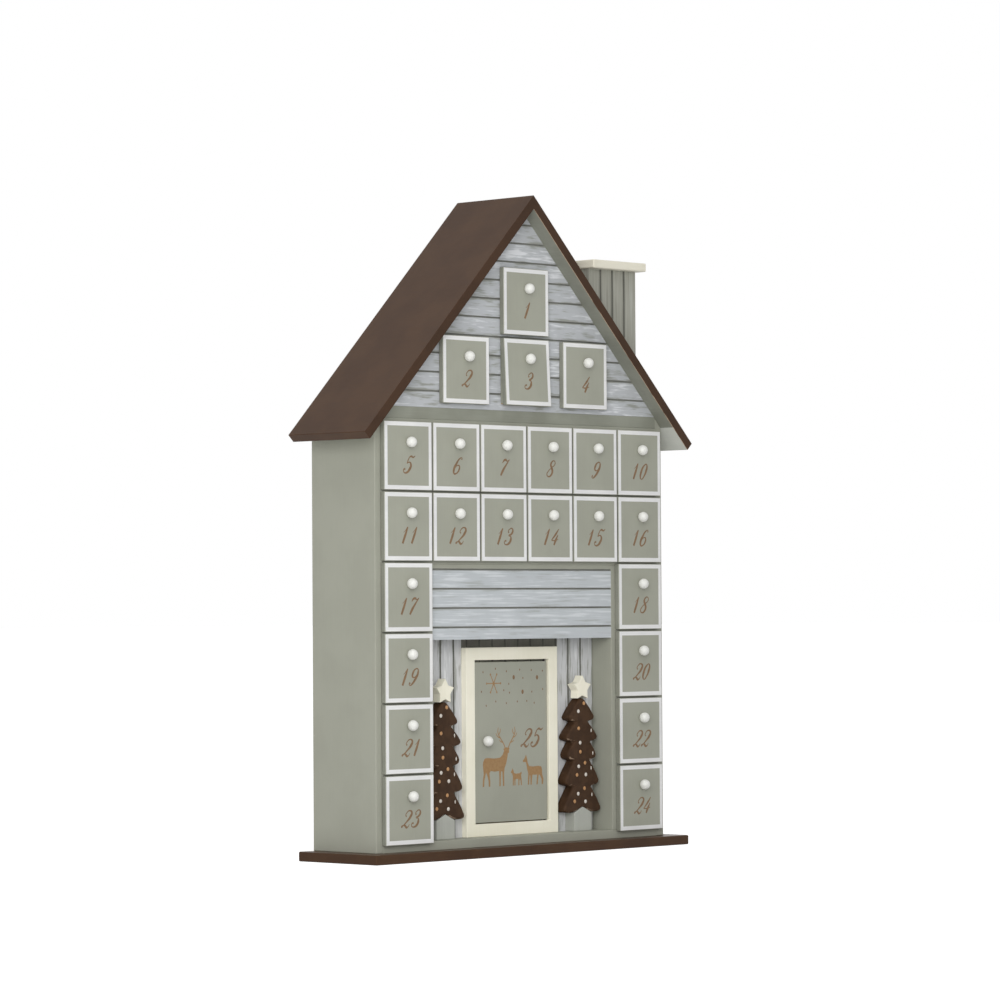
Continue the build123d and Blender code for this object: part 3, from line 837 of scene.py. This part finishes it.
@dataclass
class Chimney:
    """Grooved stack with an overhanging cap."""

    cap_ease: float = 0.5

    def build(self) -> None:
        """Dress the stack, whose foot follows the roof, and its cap."""
        node = "chimney_stack"
        bm = grooved_boards(node)
        for face in bm.faces:
            if face.normal.z < -SLANTED:
                face.material_index = Coat.MAIN
        # The grooves take the dark grey with painted shade
        looks = (Look.CHIMNEY_WHITEWASH, Look.DARK_PAINT_GROOVE)
        set_piece(f"{node}_boards", bm, looks, stands_for=node)
        eased_board("chimney_cap", Look.CREAM_PAINT_LEVEL, self.cap_ease)


@dataclass
class Porch:
    """Lintel, upright boards and the door's frame."""

    board_count: int = 14
    boards_over_door: int = 6
    board_gap: float = 0.2
    door_stop_lap: float = 2.8
    groove_width: float = 1.3
    groove_facets: int = 1
    frame_bar: float = 8.6
    frame_ease: float = 0.35

    def build(self) -> None:
        """Build the porch."""
        self.build_lintel()
        self.build_boards()
        self.build_frame()

    def build_lintel(self) -> None:
        """Dress the clapboards over the porch, under a plain grey strip."""
        bm = grooved_boards("lintel")
        grooves = [face for face in bm.faces if face.material_index == Coat.SECOND]
        top_groove = max(face.calc_center_median().z for face in grooves)
        for face in bm.faces:
            if face.calc_center_median().z > top_groove and face.normal.y < -SQUARE_ON:
                face.material_index = Coat.THIRD
        looks = (Look.LINTEL_WHITEWASH, Look.GREY_PAINT_GROOVE, Look.GREY_PAINT_LEVEL)
        set_piece("lintel_washed", bm, looks, stands_for="lintel")

    def door_stop(self) -> float:
        """Tell how low the short boards reach, where the door stops against them."""
        return bounds_mm("door_frame")[1].z - self.frame_bar - self.door_stop_lap

    def build_boards(self) -> None:
        """Saw the upright boards, chamfered in front; those over the door are short."""
        low, high = bounds_mm("porch_boards")
        pitch = (high.x - low.x + self.board_gap) / self.board_count
        half = (pitch - self.board_gap) / 2
        bm = bmesh.new()
        for place in range(self.board_count):
            from_middle = place + 0.5 - self.board_count / 2
            foot = self.door_stop() if abs(from_middle) < self.boards_over_door / 2 else low.z
            left, right = from_middle * pitch - half, from_middle * pitch + half
            board = box_board((left, low.y, foot), (right, high.y, high.z))
            uprights = [edge for edge in board.edges if runs_along(edge, Along.UP)]
            front = [edge for edge in uprights if abs(edge.verts[0].co.y - low.y) < WELD_MM]
            # The chamfers between boards take the grooves' dark grey with painted shade
            for face in bevel_edges(board, front, self.groove_width / 2, self.groove_facets):
                face.material_index = Coat.SECOND
            join(bm, board)
        # Painted shade on the boards over the door
        self.leave_unwashed(bm)
        looks = (Look.PORCH_WHITEWASH, Look.DARK_PAINT_GROOVE, Look.DARK_PRIMER)
        set_piece("porch_boards_washed", bm, looks, stands_for="porch_boards")

    def leave_unwashed(self, bm: BMesh) -> None:
        """Paint shade on the boards over the door's frame, under the lintel.

        Args:
            bm: Mesh of all upright boards.
        """
        low, high = bounds_mm("door_frame")
        right, foot = high.x + high.y - low.y, self.door_stop()
        cut(bm, (low.x, 0, 0), (1, 0, 0))
        cut(bm, (right, 0, 0), (1, 0, 0))
        cut(bm, (0, 0, foot), (0, 0, 1))
        for face in bm.faces:
            middle = face.calc_center_median()
            over_door = low.x < middle.x < right and middle.z > foot
            if over_door and face.material_index == Coat.MAIN:
                face.material_index = Coat.THIRD

    def build_frame(self) -> None:
        """Saw the door's frame as one painted ring with eased edges."""
        low, high = bounds_mm("door_frame")
        corners = ((low.x, low.z), (high.x, low.z), (high.x, high.z), (low.x, high.z))
        bm = bmesh.new()
        opening = bm.faces.new([bm.verts.new((x, low.y, z)) for x, z in corners])
        opening.normal_update()
        bmesh.ops.inset_region(
            bm, faces=[opening], thickness=self.frame_bar, use_boundary=True, use_even_offset=True
        )
        bmesh.ops.delete(bm, geom=[opening], context="FACES_ONLY")
        thicken(bm, high.y - low.y)
        ease_edges(bm, self.frame_ease)
        # The paler upright cream is painted light in the porch
        looks = (Look.CREAM_PAINT_UPRIGHT,)
        set_piece("door_frame_ring", bm, looks, stands_for="door_frame")


@dataclass
class Numerals:
    """Slanted script figures, drawn with a pen that swells on the downstrokes."""

    height: float = 11.0
    width_share: float = 0.92
    slant: float = 0.42
    advance: float = 0.84
    pen: float = 1.95
    contrast: float = 1.5

    def point(self, place: int, x: float, y: float, weight: float) -> tuple[float, float, float]:
        """Put one point of a figure in its place on the slanted line."""
        across = (x + place * self.advance) * self.width_share + self.slant * y
        return across * self.height, y * self.height, weight**self.contrast

    def draw(self, number: int) -> BMesh:
        """Draw a number about its own middle.

        Args:
            number: Number to draw.

        Returns:
            Mesh in the x-y plane, its ink towards +z.
        """
        strokes = [
            tuple(self.point(place, *spot) for spot in stroke)
            for place, figure in enumerate(str(number))
            for stroke in FIGURES[figure]
        ]
        bm = pen_strokes(strokes, self.pen)
        reach = [[vert.co[axis] for vert in bm.verts] for axis in (0, 1)]
        middle = [(min(line) + max(line)) / 2 for line in reach]
        bmesh.ops.translate(bm, vec=(-middle[0], -middle[1], 0), verts=bm.verts)
        return bm


@dataclass
class Door:
    """Grey door with its knob, pivot pins and printed winter scene."""

    numerals: Numerals
    number: int = 25
    number_place: tuple[float, float] = (22.4, 78.5)
    number_scale: float = 1.1
    ease: float = 0.3
    knob: Knob = Knob()
    flake_place: tuple[float, float] = (-15.3, 116.5)
    flake_arms: Outline = ((6.8, 0.0), (3.1, 6.1), (-3.1, 6.1))
    flake_pen: float = 0.8
    flake_end_share: float = 0.7
    flake_tip: Drop = Drop(1.3, 1.6, 10)
    flake_heart: Drop = Drop(2.2, 2.8, 6)
    snow_drop: Drop = Drop(1.0, 1.5, 8)
    snow: Outline = (
        (-25.7, 124.3), (-13.5, 126.5), (-2.6, 124.6), (10.6, 125.6), (22.3, 125.1), (33.5, 124.5),
        (13.8, 119.8), (-0.3, 116.0), (-27.4, 111.0), (-5.3, 111.7), (0.3, 109.9), (22.6, 110.2),
        (33.6, 111.8), (-13.3, 104.1), (-2.8, 102.8), (8.1, 103.7), (17.6, 103.9), (25.0, 102.5),
        (-22.7, 101.4),
    )
    large_snow_drop: Drop = Drop(2.4, 3.2, 8)
    large_snow: Outline = ((4.6, 120.4), (28.0, 120.0), (13.4, 110.3))
    ground_line: float = 46.0
    stag_left: float = -27.0
    stag: Outline = (
        (1.0, 17.0), (2.2, 19.3), (5.0, 19.8), (12.0, 19.2), (17.5, 19.6), (20.2, 21.6), (21.6, 24.2),
        (21.0, 25.6), (22.3, 26.0), (24.0, 26.6), (25.6, 26.2), (27.0, 26.0), (26.4, 24.8), (26.6, 23.2),
        (25.9, 22.4), (25.3, 22.6), (24.9, 20.0), (23.6, 15.5), (22.0, 12.4), (21.5, 9.0), (21.6, 0.3),
        (20.3, 0.0), (20.1, 5.0), (19.8, 10.0), (18.5, 10.4), (18.2, 5.0), (18.0, 0.2), (16.8, 0.1),
        (16.9, 6.0), (16.5, 10.6), (12.0, 10.2), (8.4, 10.8), (7.0, 9.4), (7.2, 7.6), (7.8, 3.5),
        (7.7, 0.2), (6.4, 0.1), (6.2, 4.0), (4.8, 8.0), (3.6, 9.8), (2.9, 7.4), (2.0, 4.5), (1.7, 0.2),
        (0.4, 0.1), (0.6, 5.0), (1.4, 8.8), (1.0, 12.0), (0.6, 15.0),
    )
    antler_pen: float = 0.9
    antlers: tuple[Stroke, ...] = (
        ((22.9, 25.8, 1.0), (21.2, 29.0, 0.9), (18.0, 33.0, 0.9), (15.6, 37.0, 0.8), (16.0, 40.4, 0.5)),
        ((20.6, 30.0, 0.8), (18.4, 30.6, 0.7), (17.0, 31.6, 0.5)),
        ((18.0, 33.0, 0.8), (15.0, 34.4, 0.7), (13.6, 36.4, 0.5)),
        ((16.6, 35.4, 0.8), (17.8, 37.4, 0.7), (18.0, 39.4, 0.5)),
        ((25.6, 25.8, 1.0), (27.4, 29.0, 0.9), (30.4, 33.0, 0.9), (32.6, 37.0, 0.8), (32.0, 40.4, 0.5)),
        ((27.8, 29.8, 0.8), (30.0, 30.4, 0.7), (31.4, 31.4, 0.5)),
        ((30.4, 33.0, 0.8), (33.2, 34.4, 0.7), (34.4, 36.4, 0.5)),
        ((31.8, 35.2, 0.8), (30.4, 37.0, 0.7), (30.2, 39.2, 0.5)),
    )
    doe_left: float = 13.0
    doe: Outline = (
        (0.2, 16.8), (2.0, 18.6), (3.4, 20.9), (4.3, 18.6), (5.0, 15.6), (6.4, 13.1), (10.0, 12.6),
        (16.0, 12.9), (18.6, 12.4), (19.4, 10.5), (19.6, 7.0), (20.8, 3.8), (20.3, 0.2), (19.1, 0.1),
        (18.9, 3.8), (17.2, 6.6), (16.0, 6.8), (15.5, 4.0), (15.0, 0.2), (13.8, 0.1), (14.2, 4.0),
        (14.5, 7.0), (12.0, 6.8), (9.8, 7.0), (9.1, 3.0), (8.9, 0.2), (7.8, 0.1), (7.8, 4.0), (7.6, 6.6),
        (7.0, 6.6), (6.6, 3.2), (6.3, 0.2), (5.2, 0.1), (5.3, 4.2), (5.6, 8.0), (4.6, 10.6), (4.0, 13.6),
        (3.3, 15.7), (1.6, 16.0), (0.4, 15.9),
    )
    fawn_left: float = 1.0
    fawn: Outline = (
        (0.2, 9.6), (1.2, 10.6), (1.9, 12.0), (2.8, 10.4), (3.3, 8.8), (5.0, 8.2), (9.0, 8.4), (10.6, 9.4),
        (11.0, 8.6), (10.4, 7.2), (10.6, 5.6), (10.9, 3.0), (11.1, 0.2), (10.2, 0.1), (9.9, 3.2),
        (9.1, 4.6), (8.6, 3.0), (8.6, 0.2), (7.6, 0.1), (7.7, 3.4), (7.5, 4.6), (6.0, 4.5), (5.0, 4.6),
        (4.7, 3.0), (4.7, 0.2), (3.8, 0.1), (3.7, 3.0), (3.5, 4.5), (3.1, 3.0), (3.0, 0.2), (2.1, 0.1),
        (2.1, 3.4), (2.3, 6.2), (1.8, 7.6), (1.5, 8.6), (0.5, 8.7),
    )

    def build(self) -> None:
        """Build the door."""
        eased_board("door_panel", Look.GREY_PAINT_UPRIGHT, self.ease, DOOR)
        low, high = bounds_mm("door_knob")
        seat = self.on_face((low.x + high.x) / 2, (low.z + high.z) / 2)
        self.knob.build("door_knob_ball", "cream_paint", DOOR, seat, "door_knob")
        self.dress_pins()
        self.print_number()
        self.print_sky()
        self.print_deer()

    def on_face(self, x: float, z: float) -> Matrix:
        """Find a place on the door's face."""
        return facing_front(x, bounds_mm("door_panel")[0].y, z)

    def dress_pins(self) -> None:
        """Give the pivot pins their steel."""
        pins = frame["nodes"]["hinge_pins"].data
        pins.materials.clear()
        pins.materials.append(Look.ANNEALED_STEEL_WIRE.material())

    def set_print(self, name: str, bm: BMesh, x: float, z: float, ink: Look = Look.COPPER_INK) -> None:
        """Print a flat shape on the door, with its origin at a sideways place and a height."""
        set_piece(f"door_{name}", bm, (ink,), DOOR, place=self.on_face(x, z))

    def print_number(self) -> None:
        """Print the door's number."""
        bm = self.numerals.draw(self.number)
        bmesh.ops.scale(bm, vec=(self.number_scale, self.number_scale, 1), verts=bm.verts)
        self.set_print("number", bm, *self.number_place, Look.FIGURE_INK)

    def print_sky(self) -> None:
        """Print the snowflake and the falling snow."""
        ends = self.flake_end_share
        bm = pen_strokes(
            [((-x, -y, ends), (0.0, 0.0, 1.0), (x, y, ends)) for x, y in self.flake_arms], self.flake_pen
        )
        self.flake_tip.dab(bm, tuple((end * x, end * y) for x, y in self.flake_arms for end in (-1, 1)))
        self.flake_heart.dab(bm, ((0, 0),))
        self.set_print("snowflake", bm, *self.flake_place)
        bm = bmesh.new()
        self.snow_drop.dab(bm, self.snow)
        self.large_snow_drop.dab(bm, self.large_snow)
        self.set_print("snow", bm, 0, 0, Look.FIGURE_INK)

    def print_deer(self) -> None:
        """Print a stag, a doe and a fawn on one line."""
        bm = ink_shape(self.stag)
        join(bm, pen_strokes(list(self.antlers), self.antler_pen))
        self.set_print("stag", bm, self.stag_left, self.ground_line)
        self.set_print("doe", ink_shape(self.doe), self.doe_left, self.ground_line)
        self.set_print("fawn", ink_shape(self.fawn), self.fawn_left, self.ground_line)


@dataclass
class FirTree:
    """Sawn fir on a trunk with a star, well rounded and dotted with paint."""

    side: str
    fir_width: float = 37.95
    fir_ease: float = 1.8
    fir_facets: int = 4
    tip_round: float = 4.2
    tip_facets: int = 6
    flank_bulge: float = 0.7
    tier_height_shares: Shares = (0.798, 0.627, 0.468, 0.246)
    tier_width_shares: Shares = (0.76, 0.92, 0.83, 0.98)
    skirt_share: float = 1.07
    skirt_rise: float = 0.6
    notch_width_shares: Shares = (0.34, 0.45, 0.42, 0.47)
    notch_drop: float = 1.8
    trunk_width: float = 17.5
    trunk_peak: float = 4.0
    trunk_ease: float = 0.5
    star_radius: float = 8.9
    star_inner_share: float = 0.58
    star_points: int = 5
    star_ease: float = 0.35
    drop: Drop = Drop(2.7, 2.7, 12, proud=0.25)
    edge_drop: Drop = Drop(1.0, 2.7, 12, proud=0.25)
    white_dots: Outline = ((-4.3, 70.5), (-2.7, 48.6), (-4.3, 32.2), (3.0, 26.3), (-5.0, 13.2), (2.4, 7.6))
    edge_dots: Outline = ((8.7, 56.9), (10.2, 41.1), (8.4, 30.7), (9.0, 12.2))
    tan_dots: Outline = (
        (1.4, 76.0), (-4.1, 58.6), (-2.5, 42.3), (2.2, 34.5), (-6.1, 26.3), (1.5, 16.8), (-8.6, 8.0),
    )

    def __post_init__(self) -> None:
        """Read the tree's place from its CAD node."""
        self.node = f"tree_{self.side}"
        self.low, self.high = bounds_mm(self.node)
        self.middle = (self.low.x + self.high.x) / 2

    def build(self) -> None:
        """Build the tree."""
        self.build_fir()
        eased_board(f"trunk_{self.side}", Look.PALE_GREY_PAINT, self.trunk_ease)
        self.build_star()
        self.dot()

    def build_fir(self) -> None:
        """Saw the fir from thick board, round the tips of its tiers and then all its edges."""
        bm = sawn(self.fir_outline(), self.low.y, self.high.y)
        corners = [e for e in bm.edges if e.is_convex and e.calc_face_angle() > SHARP_ANGLE]
        tips = [edge for edge in corners if runs_along(edge, Along.DEEP)]
        bevel_edges(bm, tips, self.tip_round, self.tip_facets)
        for face in ease_edges(bm, self.fir_ease, self.fir_facets):
            face.normal_update()
            if face.normal.y < -SLANTED and face.normal.z < -SLANTED:
                face.material_index = Coat.SECOND
        looks = (Look.FIR_BROWN_PAINT, Look.FIR_RUBBED_EDGE)
        set_piece(f"{self.node}_fir", bm, looks, stands_for=self.node)

    def fir_outline(self) -> Outline:
        """Draw the fir's outline: five tiers with bulging flanks over a notch for the trunk.

        Returns:
            Corners as x and z.
        """
        half, tall = self.fir_width / 2, self.high.z - self.low.z
        heights = [share * tall for share in self.tier_height_shares]
        tips = [(share * half, z) for share, z in zip(self.tier_width_shares, heights)]
        notches = [(share * half, z - self.notch_drop) for share, z in zip(self.notch_width_shares, heights)]
        right = []
        for top, tip in zip([(0, tall), *notches], [*tips, (self.skirt_share * half, self.skirt_rise)]):
            right += [top, ((top[0] + tip[0]) / 2 + self.flank_bulge, (top[1] + tip[1]) / 2), tip]
        right.append((self.trunk_width / 2, 0))
        left = [(-x, z) for x, z in reversed(right[1:])]
        whole = (*right, (0, self.trunk_peak), *left)
        return tuple((self.middle + x, self.low.z + z) for x, z in whole)

    def build_star(self) -> None:
        """Saw the star that stands on the fir."""
        node = f"star_{self.side}"
        low, high = bounds_mm(node)
        middle_x, middle_z = (low.x + high.x) / 2, self.high.z + self.star_radius * self.star_inner_share
        outline = []
        for corner in range(2 * self.star_points):
            reach = self.star_radius * (1 if corner % 2 == 0 else self.star_inner_share)
            turn = math.pi / 2 - corner * math.pi / self.star_points
            outline.append((middle_x + reach * math.cos(turn), middle_z + reach * math.sin(turn)))
        bm = sawn(tuple(outline), low.y, high.y)
        ease_edges(bm, self.star_ease)
        # The paler upright cream is painted light in the porch
        set_piece(f"{node}_cut", bm, (Look.CREAM_PAINT_UPRIGHT,), stands_for=node)

    def dot(self) -> None:
        """Dab the dots on the fir."""
        place = facing_front(self.middle, self.low.y, self.low.z)
        for name, drop, dots, look in (
            ("white", self.drop, self.white_dots, Look.WHITE_DOT_PAINT),
            ("edge", self.edge_drop, self.edge_dots, Look.WHITE_DOT_PAINT),
            ("tan", self.drop, self.tan_dots, Look.TAN_DOT_PAINT),
        ):
            bm = bmesh.new()
            drop.dab(bm, dots)
            set_piece(f"{self.node}_{name}_dots", bm, (look,), place=place, smooth=True)


@dataclass
class Drawer:
    """One drawer: a bordered front with its number and knob, and an open tray behind."""

    numerals: Numerals
    number: int
    front_width: float = 44.8
    front_height: float = 45.8
    front_thick: float = 3.8
    front_ease: float = 0.4
    border: float = 3.1
    tray_width: float = 42.0
    tray_height: float = 36.0
    tray_length: float = 54.8
    tray_wall: float = 2.0
    tray_rise: float = 1.2
    tray_ease: float = 0.25
    tray_facets: int = 1
    knob: Knob = Knob()
    knob_height: float = 31.9
    number_height: float = 17.0
    number_shift: float = 0.9

    def __post_init__(self) -> None:
        """Find the drawer's body and the place of its face."""
        self.body = f"drawer_{self.number:02d}"
        self.place = self.face_place()

    def build(self) -> None:
        """Build the drawer."""
        self.build_front()
        self.build_tray()
        seat = self.place @ Matrix.Translation((0, self.knob_height, 0))
        self.knob.build(f"{self.body}_knob", "grey_paint", self.body, seat)
        spot = self.place @ Matrix.Translation((self.number_shift, self.number_height, 0))
        figures = self.numerals.draw(self.number)
        set_piece(f"{self.body}_number", figures, (Look.FIGURE_INK,), self.body, place=spot)

    def face_place(self) -> Matrix:
        """Find the drawer's face in its CAD node.

        Returns:
            Place of the middle of the face's lower edge: x right, y up, z out, in millimetres.
        """
        joint = next(j for j in frame["joints"] if j["child"] == self.body)
        out = Vector(joint["axis"]).normalized()
        right = Vector((1, 0, 0))
        up = out.cross(right)
        spots = [vert.co / MM for vert in frame["nodes"][self.body].data.vertices]
        sides = [spot.dot(right) for spot in spots]
        origin = (
            right * (min(sides) + max(sides)) / 2
            + up * min(spot.dot(up) for spot in spots)
            + out * (max(spot.dot(out) for spot in spots) - self.knob.length)
        )
        return Matrix.Translation(origin) @ Matrix((right, up, out)).transposed().to_4x4()

    def build_front(self) -> None:
        """Build the front: white border round a grey panel, its edges darkened with painted shade."""
        half = self.front_width / 2
        bm = box_board((-half, 0, -self.front_thick), (half, self.front_height, 0))
        ease_edges(bm, self.front_ease)
        for face in bm.faces:
            face.normal_update()
            if face.normal.z > SQUARE_ON:
                face.material_index = Coat.SECOND
            # The edges take the darker grey: painted shade
            elif face.normal.z < SLANTED:
                face.material_index = Coat.THIRD
        panel = max(bm.faces, key=lambda face: face.calc_area() * face.normal.z)
        flat_border = self.border - self.front_ease
        bmesh.ops.inset_region(bm, faces=[panel], thickness=flat_border, use_even_offset=True)
        panel.material_index = Coat.MAIN
        looks = (Look.GREY_PAINT_UPRIGHT, Look.WHITE_BORDER_PAINT, Look.THIN_GREY_PAINT_DEEP)
        set_piece(f"{self.body}_front", bm, looks, self.body, self.body, self.place)

    def build_tray(self) -> None:
        """Build the tray from two sides, a floor and a back, painted on the outside of its sides."""
        half, wall, back = self.tray_width / 2, self.tray_wall, -self.front_thick - self.tray_length
        low, top, front = self.tray_rise, self.tray_rise + self.tray_height, -self.front_thick
        bm = bmesh.new()
        for near, far in (
            ((-half, low, back), (-half + wall, top, front)),
            ((half - wall, low, back), (half, top, front)),
            ((-half + wall, low, back), (half - wall, low + wall, front)),
            ((-half + wall, low + wall, back), (half - wall, top, back + wall)),
        ):
            board = box_board(near, far)
            ease_edges(board, self.tray_ease, self.tray_facets)
            join(bm, board)
        for face in bm.faces:
            if abs(abs(face.calc_center_median().x) - half) < WELD_MM:
                face.material_index = Coat.SECOND
        looks = (Look.BARE_BASSWOOD, Look.GREY_PAINT_DEEP)
        set_piece(f"{self.body}_tray", bm, looks, self.body, place=self.place)


@dataclass(frozen=True)
class Lamp:
    """Large square lamp with soft light, which faces the house."""

    name: str
    place: Place
    size: float
    watts: float
    target: Place = (0, 0, 0.2)

    def hang(self) -> None:
        """Hang the lamp."""
        lamp = bpy.data.lights.new(self.name, "AREA")
        lamp.shape = "SQUARE"
        lamp.size = self.size
        lamp.energy = self.watts
        aim = Vector(self.target) - Vector(self.place)
        turn = aim.to_track_quat("-Z", "Y").to_matrix().to_4x4()
        put(self.name, lamp).matrix_world = Matrix.Translation(self.place) @ turn


@dataclass
class Studio:
    """Camera at the photograph's angle, white floor and plain soft light."""

    camera_place: Place = (-2.03863, -1.954046, 0.167217)
    yaw: float = 0.807184487
    pitch: float = 0.026612043
    roll: float = -0.005997561
    lens_mm: float = 147.644
    sensor_mm: float = 36.0
    world_light: float = 0.4
    floor_size: float = 60.0
    floor_colour: str = "#E6E6E6"
    floor_roughness: float = 0.9
    floor_lift: float = 0.72
    lamps: tuple[Lamp, ...] = (
        Lamp("key_lamp", (-1.1, -0.98, 0.5), size=0.8, watts=11.9),
        Lamp("top_lamp", (-0.5, -0.5, 1.6), size=1.0, watts=5.0),
    )

    def build(self) -> None:
        """Set up the stage."""
        bpy.context.scene.view_settings.view_transform = "Standard"
        self.set_camera()
        self.set_world()
        self.lay_floor()
        for lamp in self.lamps:
            lamp.hang()

    def set_camera(self) -> None:
        """Place the camera: level and facing +y, then rolled, pitched up and yawed to the right."""
        lens = bpy.data.cameras.new("camera")
        lens.lens = self.lens_mm
        lens.sensor_width = self.sensor_mm
        roll = Matrix.Rotation(self.roll, 4, "Z")
        pitch = Matrix.Rotation(math.pi / 2 + self.pitch, 4, "X")
        yaw = Matrix.Rotation(-self.yaw, 4, "Z")
        camera = put("camera", lens)
        camera.matrix_world = Matrix.Translation(self.camera_place) @ yaw @ pitch @ roll
        bpy.context.scene.camera = camera

    def seen_ray(self, tree: NodeTree) -> NodeSocket:
        """Tell rays that show the background from rays that light the object.

        Args:
            tree: Node tree that takes the nodes.

        Returns:
            Socket with 1 for seen rays.
        """
        kinds = ("Is Camera Ray", "Is Glossy Ray", "Is Transmission Ray")
        camera, glossy, clear = (add_node(tree, "LightPath", {}, out=kind) for kind in kinds)
        either = add_node(tree, "Math", {0: camera, 1: glossy}, operation="MAXIMUM")
        return add_node(tree, "Math", {0: either, 1: clear}, operation="MAXIMUM")

    def set_world(self) -> None:
        """Make the surroundings white to the eye and softer as light."""
        world = bpy.data.worlds.new("studio")
        bpy.context.scene.world = world
        world.use_nodes = True
        tree = world.node_tree
        limits = {"Value": self.seen_ray(tree), "To Min": self.world_light, "To Max": 1.0}
        light = {"Color": linear(WHITE), "Strength": add_node(tree, "MapRange", limits)}
        connect(tree, tree.nodes["Background"], light)

    def lay_floor(self) -> None:
        """Lay a pale floor that is lifted to white where it is seen, and keeps its shadows."""
        bm = bmesh.new()
        bmesh.ops.create_grid(bm, x_segments=1, y_segments=1, size=self.floor_size / 2)
        mesh = bpy.data.meshes.new("floor")
        bm.to_mesh(mesh)
        bm.free()
        material = bpy.data.materials.new("studio_floor")
        material.use_nodes = True
        tree = material.node_tree
        lift = {0: self.seen_ray(tree), 1: self.floor_lift}
        surface = {
            "Base Color": linear(self.floor_colour),
            "Roughness": self.floor_roughness,
            "Emission Color": linear(WHITE),
            "Emission Strength": add_node(tree, "Math", lift, operation="MULTIPLY"),
        }
        connect(tree, tree.nodes[SURFACE], surface)
        mesh.materials.append(material)
        put("floor", mesh)


def main() -> None:
    """Build the house piece by piece."""
    logging.basicConfig(level=logging.INFO, format="%(name)s: %(message)s")
    numerals = Numerals()
    parts = [Carcass(), Roof(), Gable(), Chimney(), Porch(), Door(numerals)]
    parts += [FirTree(side) for side in ("left", "right")]
    parts += [Drawer(numerals, number) for number in range(1, DRAWER_COUNT + 1)]
    for part in (*parts, Studio()):
        part.build()


if __name__ == "__main__":
    main()
